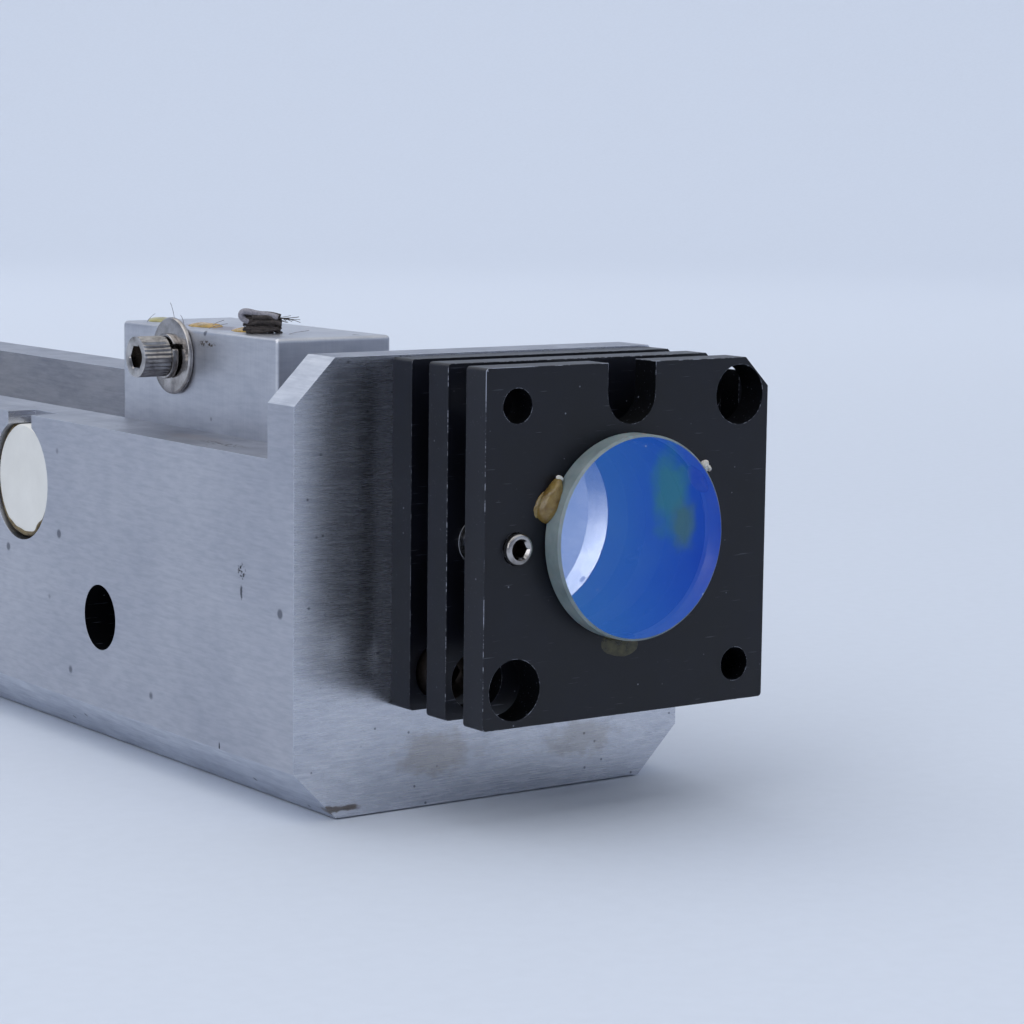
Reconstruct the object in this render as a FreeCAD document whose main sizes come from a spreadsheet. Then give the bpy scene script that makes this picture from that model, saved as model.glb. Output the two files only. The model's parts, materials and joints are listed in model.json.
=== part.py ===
"""Open-channel cavity spectroscope: milled chassis, gimbal mirror mount, side port, far mirror and detector.

Frame: +X across, +Y along the beam from the gimbal mount to the detector, +Z up.
Origin: centre of the chassis base face. Lengths in millimetres.
"""
import FreeCAD, Part
import math
import os
import Sketcher
from FreeCAD import Placement, Rotation, Vector

doc = FreeCAD.newDocument("Spectroscope")

# ---------------------------------------------------------------- driving dimensions
sheet = doc.addObject("Spreadsheet::Sheet", "Dims")
drivers = {
    # chassis
    "bodyLength": 220.0, "bodyWidth": 60.0, "bodyHeight": 57.3, "endPlate": 6.2,
    "topChamfer": 5.8, "baseChamfer": 6.2, "wallTop": 44.6, "wallThick": 10.0,
    "floorThick": 12.0, "beamX": 6.0, "beamZ": 35.25, "beamBore": 13.5,
    # side openings of the left wall, Y measured back from the front face
    "portY": 74.1, "portZ": 35.1, "portRadius": 8.5, "portDepth": 4.3, "portThrough": 6.0,
    "slotWidth": 7.3, "wireHoleY": 50.3, "wireHoleZ": 18.7, "wireHoleRadius": 4.47,
    # threads and clearances
    "footThreadRadius": 2.5, "footThreadDepth": 9.0, "footPitch": 100.0,
    "clearHoleFour": 2.25, "clearHoleThree": 1.6, "threadGap": 0.05,
    # gimbal plates
    "plateSize": 43.6, "plateChamfer": 3.7, "plateCorner": 0.5, "rearThick": 4.3,
    "plateThick": 4.1, "rearGap": 3.7, "frontGap": 3.8, "plateBore": 12.0,
    "cornerPitch": 34.3, "toolHole": 3.75, "smallHole": 2.12,
    "leverSlot": 7.3, "adjusterOffset": 17.9, "yawOffset": 17.1,
    "ribInset": 0.2, "ribWidth": 0.9, "ribHeight": 3.5, "ribHalf": 19.65,
    # pivots, seats and adjusters
    "ballRadius": 2.5, "seatGap": 0.05, "pivotDrop": 17.05, "pivotSide": 18.3,
    "pitchBallLeft": 9.5, "pitchBallRight": 15.5, "yawBallUp": 9.25, "yawBallDown": 11.25,
    "tipRadius": 1.5, "tipGap": 0.03, "adjusterRadius": 1.95, "adjusterHole": 2.0,
    "adjusterLength": 7.0, "adjusterHex": 2.0, "adjusterHexDepth": 2.5,
    "seatDisc": 3.0, "seatDiscThick": 1.0, "seatDiscPlay": 0.02,
    # springs and their pins
    "pocketRadius": 2.6, "pocketDepth": 3.4, "pinRadius": 0.6, "pinLength": 8.0, "pinDepth": 1.7,
    "pinEndPlay": 0.1, "pinSidePlay": 0.02,
    "loopRadius": 1.15, "springWire": 0.25, "coilOuter": 1.85, "coilInner": 1.35,
    "yawSpringX": 9.5, "yawSpringZ": 14.75,
    "pitchSpringLeft": 15.2, "pitchSpringRight": 15.8, "pitchSpringLow": 7.25, "pitchSpringHigh": 5.25,
    # front mirror
    "mirrorRadius": 12.7, "mirrorThick": 3.1, "mirrorX": -0.4, "mirrorZ": 0.5,
    "mirrorBevel": 0.3, "dabOutside": 0.4, "dabHeight": 2.6,
    # clamp block and its hardware
    "blockWidth": 17.5, "blockStart": 20.6, "blockLength": 41.4, "blockTop": 58.1,
    "blockFillet": 0.6, "blockScrewY": 47.1, "blockScrewZ": 54.2, "threadThree": 1.5,
    "blockThread": 12.0, "boltThread": 11.0, "firstBolt": 0.2, "secondBolt": 0.9,
    "flatWasher": 5.2, "flatWasherThick": 0.8, "springWasher": 2.9, "springWasherThick": 0.9,
    "washerSplit": 0.5, "glueHeight": 1.0, "tuftAcross": 4.2, "tuftAlong": 30.4, "tuftWide": 1.3,
    "tuftLong": 1.2, "tuftHeight": 1.8,
    # side port disc
    "discRadius": 7.9, "discThick": 3.0, "discRecess": 0.6,
    # beam sampler in the channel
    "samplerWidth": 16.0, "samplerDepth": 14.0, "samplerHeight": 14.0, "glassWidth": 20.0,
    "glassHeight": 22.0, "glassThick": 2.0, "grooveDepth": 3.0, "grooveSpare": 5.0, "glassPlay": 0.03,
    "samplerThread": 8.0,
    # far mirror and detector
    "cellFlange": 13.5, "cellFlangeThick": 3.0, "cellSpigot": 8.0, "cellBore": 4.5,
    "cellScrewCircle": 10.8, "cellScrewHole": 1.3, "piezoOuter": 7.8, "piezoInner": 4.5, "piezoThick": 3.0,
    "farMirrorRadius": 6.35, "farMirrorThick": 4.0,
    "caseSize": 30.0, "caseDepth": 18.0, "caseScrewPitch": 23.0, "boardRadius": 10.5,
    "boardThick": 1.6, "boardSeat": 7.6, "diodeRadius": 4.6, "diodeLength": 4.6,
    "caseCorner": 2.0, "caseEnd": 3.0, "caseHeadRecess": 3.0, "boardLedge": 1.5, "boardPlay": 0.1,
    "diodeBrim": 0.5, "diodeBrimThick": 0.8, "ringThick": 1.2, "ringInner": 8.5,
    "socketRadius": 4.8, "socketLength": 12.0, "socketWall": 0.8, "socketFloor": 3.0,
    "collarRadius": 7.0, "collarThick": 1.5, "contactRadius": 0.7, "contactBack": 1.0, "contactFoot": 0.5,
}
for row, (alias, value) in enumerate(drivers.items(), start=1):
    sheet.set("A%d" % row, str(value))
    sheet.setAlias("A%d" % row, alias)
doc.recompute()

# named positions written in terms of the driving dimensions
frontFace = "(0 - Dims.bodyLength / 2)"
backFace = "(Dims.bodyLength / 2)"
rearPlateFront = frontFace + " - Dims.rearThick"
middleBack = rearPlateFront + " - Dims.rearGap"
middleFront = middleBack + " - Dims.plateThick"
frontBack = middleFront + " - Dims.frontGap"
frontPlateFace = frontBack + " - Dims.plateThick"
beamX = "Dims.beamX"
beamZ = "Dims.beamZ"
yawPivotX = beamX + " + Dims.pivotSide"
pitchPivotZ = beamZ + " - Dims.pivotDrop"
yawAdjusterX = beamX + " - Dims.yawOffset"
pitchAdjusterZ = beamZ + " + Dims.adjusterOffset"
wallFace = "(0 - Dims.bodyWidth / 2)"
innerWall = "(Dims.wallThick - Dims.bodyWidth / 2)"

upright = Rotation()
alongY = Rotation(Vector(1, 0, 0), -90)
towardsFront = Rotation(Vector(1, 0, 0), 90)
alongX = Rotation(Vector(0, 1, 0), 90)
towardsLeft = Rotation(Vector(0, 1, 0), -90)

nodes = []
tiny = 0.01          # tolerance for telling one edge or one volume from another


def keep(piece, label):
    """Give a finished piece the name of its file."""
    piece.Label = label
    nodes.append(piece)
    return piece


def bind(piece, **sizes):
    for name, text in sizes.items():
        piece.setExpression(name, text)


def place(piece, x="0", y="0", z="0", turn=upright):
    piece.Placement = Placement(Vector(0, 0, 0), turn)
    for axis, text in (("x", x), ("y", y), ("z", z)):
        piece.setExpression(".Placement.Base." + axis, text)
    return piece


# ---------------------------------------------------------------- Part primitives
def box(name, length, width, height, x="0", y="0", z="0", turn=upright):
    piece = doc.addObject("Part::Box", name)
    bind(piece, Length=length, Width=width, Height=height)
    return place(piece, x, y, z, turn)


def cylinder(name, radius, height, x="0", y="0", z="0", turn=upright):
    piece = doc.addObject("Part::Cylinder", name)
    bind(piece, Radius=radius, Height=height)
    return place(piece, x, y, z, turn)


def sphere(name, radius, x="0", y="0", z="0"):
    piece = doc.addObject("Part::Sphere", name)
    bind(piece, Radius=radius)
    return place(piece, x, y, z)


def hexagon(name, acrossFlats, height, x="0", y="0", z="0", turn=upright):
    piece = doc.addObject("Part::Prism", name)
    piece.Polygon = 6
    bind(piece, Circumradius="(%s) / 2 / cos(30)" % acrossFlats, Height=height)
    return place(piece, x, y, z, turn)


def ellipsoid(name, across, along, up, x, y, z):
    piece = doc.addObject("Part::Ellipsoid", name)
    bind(piece, Radius2=across, Radius3=along, Radius1=up)
    return place(piece, x, y, z)


def join(name, pieces):
    union = doc.addObject("Part::MultiFuse", name)
    union.Shapes = pieces
    return union


def group(name, pieces):
    """Identical pieces kept as separate solids of one node."""
    compound = doc.addObject("Part::Compound", name)
    compound.Links = pieces
    return compound


def cut(name, base, tools):
    result = doc.addObject("Part::Cut", name)
    result.Base = base
    result.Tool = tools[0] if len(tools) == 1 else join(name + "Tools", tools)
    return result


def tube(name, outer, inner, height, x="0", y="0", z="0", turn=upright):
    wall = cylinder(name + "Outer", outer, height)
    hollow = cylinder(name + "Inner", inner, height)
    return place(cut(name, wall, [hollow]), x, y, z, turn)


# ---------------------------------------------------------------- PartDesign helpers
def newBody(name):
    return doc.addObject("PartDesign::Body", name)


def newSketch(body, name, role, offset="0"):
    sketch = body.newObject("Sketcher::SketchObject", name)
    for datum in body.Origin.OriginFeatures:
        if datum.Role == role:
            sketch.AttachmentSupport = (datum, [""])
    sketch.MapMode = "FlatFace"
    sketch.setExpression(".AttachmentOffset.Base.z", offset)
    return sketch


def fixPoint(sketch, line, end, u, v):
    """Tie one end of a line, or a circle's centre, to two distances from the sketch's origin."""
    for kind, text in (("DistanceX", u), ("DistanceY", v)):
        index = sketch.addConstraint(Sketcher.Constraint(kind, -1, 1, line, end, 1.0))
        sketch.setExpression("Constraints[%d]" % index, text)


def rectangle(sketch, left, right, low, high):
    corners = [Vector(0, 0), Vector(1, 0), Vector(1, 1), Vector(0, 1)]
    first = sketch.GeometryCount
    for i in range(4):
        sketch.addGeometry(Part.LineSegment(corners[i], corners[(i + 1) % 4]), False)
    for i in range(4):
        following = first + (i + 1) % 4
        sketch.addConstraint(Sketcher.Constraint("Coincident", first + i, 2, following, 1))
        sketch.addConstraint(Sketcher.Constraint("Vertical" if i % 2 else "Horizontal", first + i))
    fixPoint(sketch, first, 1, left, low)
    fixPoint(sketch, first + 2, 1, right, high)


def circle(sketch, u, v, radius):
    index = sketch.addGeometry(Part.Circle(Vector(0, 0), Vector(0, 0, 1), 1.0), False)
    fixPoint(sketch, index, 3, u, v)
    size = sketch.addConstraint(Sketcher.Constraint("Radius", index, 1.0))
    sketch.setExpression("Constraints[%d]" % size, radius)


def pad(body, name, sketch, length, backwards=False):
    feature = body.newObject("PartDesign::Pad", name)
    feature.Profile = sketch
    feature.setExpression("Length", length)
    feature.Reversed = backwards
    doc.recompute()
    return feature


def pocket(body, name, sketch, depth, backwards=False):
    """Cut a pocket, and make sure that it took something away."""
    before = body.Shape.Volume
    feature = body.newObject("PartDesign::Pocket", name)
    feature.Profile = sketch
    feature.setExpression("Length", depth)
    feature.Reversed = backwards
    doc.recompute()
    if not body.Shape.Volume < before - tiny:
        raise RuntimeError(name + " cuts nothing")
    return feature


def edgeNames(shape, test):
    """Names of the edges whose two ends pass the test."""
    names = []
    for i, edge in enumerate(shape.Edges, start=1):
        ends = [vertex.Point for vertex in edge.Vertexes]
        if len(ends) == 2 and test(ends[0], ends[1]):
            names.append("Edge%d" % i)
    return names


def dress(body, kind, name, base, test, size):
    feature = body.newObject("PartDesign::" + kind, name)
    feature.Base = (base, edgeNames(base.Shape, test))
    feature.setExpression("Radius" if kind == "Fillet" else "Size", size)
    doc.recompute()
    return feature


def lengthwise(a, b, axis):
    """True for a straight edge along one axis, 0 for X, 1 for Y and 2 for Z."""
    return all(abs(a[i] - b[i]) < tiny for i in range(3) if i != axis)


# ---------------------------------------------------------------- chassis
def buildChassis():
    body = newBody("Chassis")
    outline = newSketch(body, "ChassisOutline", "XZ_Plane", "0 - " + backFace)
    rectangle(outline, wallFace, "Dims.bodyWidth / 2", "0", "Dims.bodyHeight")
    bar = pad(body, "ChassisBar", outline, "Dims.bodyLength")
    top = sheet.bodyHeight
    low = dress(body, "Chamfer", "BaseChamfers", bar,
                lambda a, b: lengthwise(a, b, 1) and a.z < tiny, "Dims.baseChamfer")
    high = dress(body, "Chamfer", "TopChamfers", low,
                 lambda a, b: lengthwise(a, b, 1) and a.z > top - tiny, "Dims.topChamfer")
    # the side walls are milled down between the end plates, and the channel is milled between the walls
    clear = newSketch(body, "WallTops", "XY_Plane", "Dims.bodyHeight")
    inside = "(%s + Dims.endPlate)" % frontFace, "(%s - Dims.endPlate)" % backFace
    rectangle(clear, wallFace + " - 1", "Dims.bodyWidth / 2 + 1", inside[0], inside[1])
    pocket(body, "WallTopCut", clear, "Dims.bodyHeight - Dims.wallTop")
    channel = newSketch(body, "ChannelOutline", "XY_Plane", "Dims.wallTop")
    rectangle(channel, innerWall, "0 - " + innerWall, inside[0], inside[1])
    pocket(body, "Channel", channel, "Dims.wallTop - Dims.floorThick")
    # beam bore in the front end plate, spigot bore in the rear one
    holes = newSketch(body, "BeamBoreOutline", "XZ_Plane", "0 - " + frontFace)
    circle(holes, beamX, beamZ, "Dims.beamBore")
    pocket(body, "BeamBore", holes, "Dims.endPlate")
    spigot = newSketch(body, "SpigotBoreOutline", "XZ_Plane", "0 - " + backFace)
    circle(spigot, beamX, beamZ, "Dims.cellSpigot")
    pocket(body, "SpigotBore", spigot, "Dims.endPlate", True)
    # side port: counterbore, through bore, wire slot up to the wall's top
    recess = newSketch(body, "PortOutline", "YZ_Plane", wallFace)
    circle(recess, frontFace + " + Dims.portY", "Dims.portZ", "Dims.portRadius")
    pocket(body, "PortRecess", recess, "Dims.portDepth", True)
    way = newSketch(body, "PortWayOutline", "YZ_Plane", wallFace)
    circle(way, frontFace + " + Dims.portY", "Dims.portZ", "Dims.portThrough")
    pocket(body, "PortWay", way, "Dims.wallThick", True)
    slot = newSketch(body, "WireSlotOutline", "YZ_Plane", wallFace)
    middle = frontFace + " + Dims.portY"
    rectangle(slot, middle + " - Dims.slotWidth / 2", middle + " + Dims.slotWidth / 2",
              "Dims.portZ", "Dims.wallTop + 1")
    pocket(body, "WireSlot", slot, "Dims.portDepth", True)
    wires = newSketch(body, "WireHoleOutline", "YZ_Plane", wallFace)
    circle(wires, frontFace + " + Dims.wireHoleY", "Dims.wireHoleZ", "Dims.wireHoleRadius")
    pocket(body, "WireHole", wires, "Dims.wallThick", True)
    # tapped and counterbored holes: foot threads, block bolts, sampler bolt
    feet = newSketch(body, "FootThreadOutline", "XY_Plane")
    for side in ("0 - ", ""):
        circle(feet, "0", side + "Dims.footPitch / 2", "Dims.footThreadRadius")
    pocket(body, "FootThreads", feet, "Dims.footThreadDepth", True)
    bolts = newSketch(body, "FloorBoltOutline", "XY_Plane")
    heads = newSketch(body, "FloorBoltHeadOutline", "XY_Plane")
    for x, y in floorBolts:
        circle(bolts, x, y, "Dims.clearHoleFour")
        circle(heads, x, y, "Dims.toolHole")
    pocket(body, "FloorBoltHoles", bolts, "Dims.floorThick", True)
    pocket(body, "FloorBoltHeads", heads, "Dims.floorThick / 2", True)
    threads = newSketch(body, "PlateThreadOutline", "XZ_Plane", "0 - " + frontFace)
    for x, z in platePoints(1):
        circle(threads, x, z, "Dims.adjusterHole")
    pocket(body, "PlateThreads", threads, "Dims.endPlate")
    cell = newSketch(body, "CellThreadOutline", "XZ_Plane", "0 - " + backFace)
    for x, z in cellPoints:
        circle(cell, x, z, "Dims.threadThree + Dims.threadGap")
    for x, z in casePoints:
        circle(cell, x, z, "Dims.threadThree + Dims.threadGap")
    pocket(body, "RearThreads", cell, "Dims.endPlate", True)
    return keep(body, "chassis")


def platePoints(diagonal):
    """Two opposite corners of the gimbal plates' hole square: 1 is lower left to upper right."""
    points = []
    for side in ("-", "+"):
        across = "%s %s Dims.cornerPitch / 2" % (beamX, side)
        rise = side if diagonal == 1 else ("+" if side == "-" else "-")
        points.append((across, "%s %s Dims.cornerPitch / 2" % (beamZ, rise)))
    return points


blockMiddle = innerWall + " + Dims.blockWidth / 2"
samplerY = frontFace + " + Dims.portY"
floorBolts = [
    (blockMiddle, frontFace + " + Dims.blockStart + Dims.blockLength * Dims.firstBolt"),
    (blockMiddle, frontFace + " + Dims.blockStart + Dims.blockLength * Dims.secondBolt"),
    (beamX, samplerY),
]
cellPoints = []
for quarter in range(4):
    turnText = "%d" % (45 + 90 * quarter)
    cellPoints.append((beamX + " + Dims.cellScrewCircle * cos(%s)" % turnText,
                       beamZ + " + Dims.cellScrewCircle * sin(%s)" % turnText))
casePoints = []
for across in ("-", "+"):
    for rise in ("-", "+"):
        casePoints.append(("%s %s Dims.caseScrewPitch / 2" % (beamX, across),
                           "%s %s Dims.caseScrewPitch / 2" % (beamZ, rise)))


# ---------------------------------------------------------------- gimbal plates
def plateBody(name, backPlane, thick):
    """Square plate with its back face at backPlane, growing towards the front."""
    body = newBody(name)
    outline = newSketch(body, name + "Outline", "XZ_Plane", "0 - (%s)" % backPlane)
    half = "Dims.plateSize / 2"
    rectangle(outline, beamX + " - " + half, beamX + " + " + half, beamZ + " - " + half, beamZ + " + " + half)
    slab = pad(body, name + "Slab", outline, thick)
    centre = sheet.beamX + sheet.beamZ

    def depthwise(a, b):
        return lengthwise(a, b, 1)

    upperRight = centre + sheet.plateSize - tiny
    corner = dress(body, "Chamfer", name + "Chamfer", slab,
                   lambda a, b: depthwise(a, b) and a.x + a.z > upperRight, "Dims.plateChamfer")
    lower = upperRight - 2 * sheet.plateChamfer
    dress(body, "Fillet", name + "Corners", corner,
          lambda a, b: depthwise(a, b) and a.x + a.z < lower, "Dims.plateCorner")
    bore = newSketch(body, name + "BoreOutline", "XZ_Plane", "0 - (%s)" % backPlane)
    circle(bore, beamX, beamZ, "Dims.plateBore")
    pocket(body, name + "Bore", bore, thick, True)
    return body


def holesFromBack(body, name, backPlane, points, radius, depth):
    sketch = newSketch(body, name + "Outline", "XZ_Plane", "0 - (%s)" % backPlane)
    for x, z in points:
        circle(sketch, x, z, radius)
    pocket(body, name, sketch, depth, True)


def holesFromFront(body, name, frontPlane, points, radius, depth):
    sketch = newSketch(body, name + "Outline", "XZ_Plane", "0 - (%s)" % frontPlane)
    for x, z in points:
        circle(sketch, x, z, radius)
    pocket(body, name, sketch, depth)


def pinGrooves(body, name, plane, points, fromBack, acrossX):
    """Grooves that hold the spring pins, cut from one face of a plate."""
    sketch = newSketch(body, name + "Outline", "XZ_Plane", "0 - (%s)" % plane)
    half = "(Dims.pinLength / 2 + Dims.pinEndPlay)"
    slim = "(Dims.pinRadius + Dims.pinSidePlay)"
    wide, tall = (half, slim) if acrossX else (slim, half)
    for x, z in points:
        rectangle(sketch, "%s - %s" % (x, wide), "%s + %s" % (x, wide),
                  "%s - %s" % (z, tall), "%s + %s" % (z, tall))
    pocket(body, name, sketch, "Dims.pinDepth + Dims.pinRadius", fromBack)


yawBalls = [(yawPivotX, beamZ + " + Dims.yawBallUp"), (yawPivotX, beamZ + " - Dims.yawBallDown")]
pitchBalls = [(beamX + " - Dims.pitchBallLeft", pitchPivotZ), (beamX + " + Dims.pitchBallRight", pitchPivotZ)]
yawSprings = [(beamX + " + Dims.yawSpringX", beamZ + " + Dims.yawSpringZ"),
              (beamX + " + Dims.yawSpringX", beamZ + " - Dims.yawSpringZ")]
pitchSprings = [(beamX + " - Dims.pitchSpringLeft", beamZ + " - Dims.pitchSpringLow"),
                (beamX + " + Dims.pitchSpringRight", beamZ + " - Dims.pitchSpringHigh")]
rearBallY = rearPlateFront + " - Dims.rearGap / 2"
frontBallY = middleFront + " - Dims.frontGap / 2"


def ballSeats(name, points, y):
    return [sphere("%sSeat%d" % (name, i), "Dims.ballRadius + Dims.seatGap", x, y, z)
            for i, (x, z) in enumerate(points)]


def buildRearPlate():
    body = plateBody("RearSlab", frontFace, "Dims.rearThick")
    holesFromBack(body, "RearClearHoles", frontFace, platePoints(1), "Dims.clearHoleFour", "Dims.rearThick")
    holesFromFront(body, "RearHeadRecess", rearPlateFront, platePoints(1), "Dims.toolHole",
                   "Dims.rearThick / 2")
    holesFromFront(body, "RearPockets", rearPlateFront, pitchSprings, "Dims.pocketRadius", "Dims.pocketDepth")
    pinGrooves(body, "RearGrooves", rearPlateFront, pitchSprings, False, True)
    holesFromFront(body, "RearSeatRecess", rearPlateFront, [(beamX, pitchAdjusterZ)],
                   "Dims.seatDisc", "Dims.seatDiscThick")
    return keep(cut("RearPlate", body, ballSeats("Rear", pitchBalls, rearBallY)), "rear_plate")


def buildPitchPlate():
    body = plateBody("PitchSlab", middleBack, "Dims.plateThick")
    holesFromBack(body, "PitchToolHoles", middleBack, platePoints(1), "Dims.toolHole", "Dims.plateThick")
    holesFromBack(body, "PitchThread", middleBack, [(beamX, pitchAdjusterZ)], "Dims.adjusterHole",
                  "Dims.plateThick")
    holesFromBack(body, "PitchBackPockets", middleBack, pitchSprings, "Dims.pocketRadius", "Dims.pocketDepth")
    pinGrooves(body, "PitchBackGrooves", middleBack, pitchSprings, True, True)
    holesFromFront(body, "PitchFrontPockets", middleFront, yawSprings, "Dims.pocketRadius",
                   "Dims.pocketDepth")
    pinGrooves(body, "PitchFrontGrooves", middleFront, yawSprings, False, False)
    holesFromFront(body, "PitchSeatRecess", middleFront, [(yawAdjusterX, beamZ)], "Dims.seatDisc",
                   "Dims.seatDiscThick")
    # upright rib beside the yaw pivots: it closes the gap at the plates' right edge
    rib = newSketch(body, "PitchRibOutline", "XZ_Plane", "0 - (%s)" % middleFront)
    edge = beamX + " + Dims.plateSize / 2 - Dims.ribInset"
    rectangle(rib, edge + " - Dims.ribWidth", edge, beamZ + " - Dims.ribHalf", beamZ + " + Dims.ribHalf")
    pad(body, "PitchRib", rib, "Dims.ribHeight")
    seats = ballSeats("PitchBack", pitchBalls, rearBallY) + ballSeats("PitchFront", yawBalls, frontBallY)
    return keep(cut("PitchPlate", body, seats), "pitch_plate")


def buildYawPlate():
    body = plateBody("YawSlab", frontBack, "Dims.plateThick")
    holesFromBack(body, "YawToolHoles", frontBack, platePoints(1), "Dims.toolHole", "Dims.plateThick")
    holesFromBack(body, "YawSmallHoles", frontBack, platePoints(2), "Dims.smallHole", "Dims.plateThick")
    holesFromBack(body, "YawThread", frontBack, [(yawAdjusterX, beamZ)], "Dims.adjusterHole",
                  "Dims.plateThick")
    holesFromBack(body, "YawPockets", frontBack, yawSprings, "Dims.pocketRadius", "Dims.pocketDepth")
    pinGrooves(body, "YawGrooves", frontBack, yawSprings, True, False)
    # driver slot over the pitch adjuster: a round end below and open at the plate's top
    holesFromBack(body, "YawSlotEnd", frontBack, [(beamX, pitchAdjusterZ)], "Dims.leverSlot / 2",
                  "Dims.plateThick")
    slot = newSketch(body, "YawSlotOutline", "XZ_Plane", "0 - (%s)" % frontBack)
    rectangle(slot, beamX + " - Dims.leverSlot / 2", beamX + " + Dims.leverSlot / 2",
              pitchAdjusterZ, beamZ + " + Dims.plateSize / 2 + 1")
    pocket(body, "YawSlot", slot, "Dims.plateThick", True)
    return keep(cut("YawPlate", body, ballSeats("Yaw", yawBalls, frontBallY)), "yaw_plate")


# ---------------------------------------------------------------- pivots, adjusters, springs
def buildPivots():
    for name, points, y in (("pitch_pivot_balls", pitchBalls, rearBallY),
                            ("yaw_pivot_balls", yawBalls, frontBallY)):
        balls = [sphere("%s%d" % (name, i), "Dims.ballRadius", x, y, z) for i, (x, z) in enumerate(points)]
        keep(group(name + "Group", balls), name)


def buildAdjuster(name, x, z, seatPlane):
    """Set screw with a loose tip ball, and the hard seat disc that the ball bears on."""
    seat = cylinder(name + "SeatDisc", "Dims.seatDisc - Dims.seatDiscPlay", "Dims.seatDiscThick", x,
                    seatPlane, z, alongY)
    keep(seat, name + "_seat")
    ballY = seatPlane + " - Dims.tipRadius - Dims.tipGap"
    keep(sphere(name + "TipBall", "Dims.tipRadius", x, ballY, z), name + "_tip_ball")
    tipRecess = sphere(name + "TipRecess", "Dims.tipRadius + Dims.tipGap")
    front = "0 - Dims.adjusterLength - Dims.tipRadius / 5"
    shank = cylinder(name + "Shank", "Dims.adjusterRadius", "Dims.adjusterLength", "0", front, "0", alongY)
    socket = hexagon(name + "Socket", "Dims.adjusterHex", "Dims.adjusterHexDepth", "0", front, "0", alongY)
    screw = cut(name + "ScrewBody", shank, [socket, tipRecess])
    keep(place(screw, x, ballY, z), name + "_screw")


def buildSprings(name, points, frontPlane, backPlane, acrossX, pinNames):
    """Closed-coil springs between two plates, with a loop over a pin at each end."""
    frontPin = "(%s - Dims.pinDepth)" % frontPlane
    backPin = "(%s + Dims.pinDepth)" % backPlane
    turn = alongX if acrossX else upright
    springs = []
    for i, (x, z) in enumerate(points):
        loops = []
        for j, y in enumerate((frontPin, backPin)):
            loop = doc.addObject("Part::Torus", "%sLoop%d%d" % (name, i, j))
            bind(loop, Radius1="Dims.loopRadius", Radius2="Dims.springWire")
            loops.append(place(loop, x, y, z, turn))
        coilStart = "%s + Dims.loopRadius - Dims.springWire" % frontPin
        coilEnd = "%s - Dims.loopRadius + Dims.springWire" % backPin
        coil = tube("%sCoil%d" % (name, i), "Dims.coilOuter", "Dims.coilInner",
                    "%s - (%s)" % (coilEnd, coilStart), x, coilStart, z, alongY)
        webOuter = "(Dims.coilOuter + Dims.coilInner) / 2"
        webThick = "2 * Dims.springWire"
        tie = tube("%sWeb%d" % (name, i), webOuter, "Dims.pinRadius", webThick, x,
                   coilStart + " + Dims.springWire", z, alongY)
        tieBack = tube("%sWebBack%d" % (name, i), webOuter, "Dims.pinRadius", webThick, x,
                       coilEnd + " - 3 * Dims.springWire", z, alongY)
        springs.append(join("%sSpring%d" % (name, i), loops + [coil, tie, tieBack]))
    keep(group(name + "Springs", springs), name + "_springs")
    for y, label in ((frontPin, pinNames[0]), (backPin, pinNames[1])):
        pins = []
        for i, (x, z) in enumerate(points):
            half = "Dims.pinLength / 2"
            start = (x + " - " + half, z) if acrossX else (x, z + " - " + half)
            pins.append(cylinder("%s%d" % (label, i), "Dims.pinRadius", "Dims.pinLength",
                                 start[0], y, start[1], turn))
        keep(group(label + "Group", pins), label)


# ---------------------------------------------------------------- fasteners
fastenerSizes = {
    "Four": {"shank": 1.95, "head": 3.5, "headHeight": 4.0, "hex": 3.0},
    "Three": {"shank": 1.45, "head": 2.75, "headHeight": 3.0, "hex": 2.5},
    "TwoHalf": {"shank": 1.2, "head": 2.2, "headHeight": 2.5, "hex": 2.0},
}
screwLengths = {"plate": "7.5", "block": "16", "sampler": "12", "cell": "8", "case": "20", "hold": "10"}
headChamfer = 0.1    # of the head's radius
socketShare = 0.55   # of the head's height


def capScrew(name, size, length):
    """Socket cap screw with its head's underside at the origin, pointing down the -Z axis."""
    sizes = fastenerSizes[size]
    head = cylinder(name + "Head", str(sizes["head"]), str(sizes["headHeight"]))
    shank = cylinder(name + "Shank", str(sizes["shank"]), length, z="0 - (%s)" % length)
    solid = join(name + "Solid", [head, shank])
    edge = doc.addObject("Part::Chamfer", name + "Chamfered")
    doc.recompute()
    edge.Base = solid
    rim = sizes["head"] * headChamfer
    rims = [i for i, line in enumerate(solid.Shape.Edges, start=1)
            if len(line.Vertexes) == 1 and abs(line.Vertexes[0].Z - sizes["headHeight"]) < tiny]
    edge.Edges = [(i, rim, rim) for i in rims]
    depth = sizes["headHeight"] * socketShare
    socket = hexagon(name + "Socket", str(sizes["hex"]), str(2 * depth), z=str(sizes["headHeight"] - depth))
    return cut(name, edge, [socket])


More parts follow.
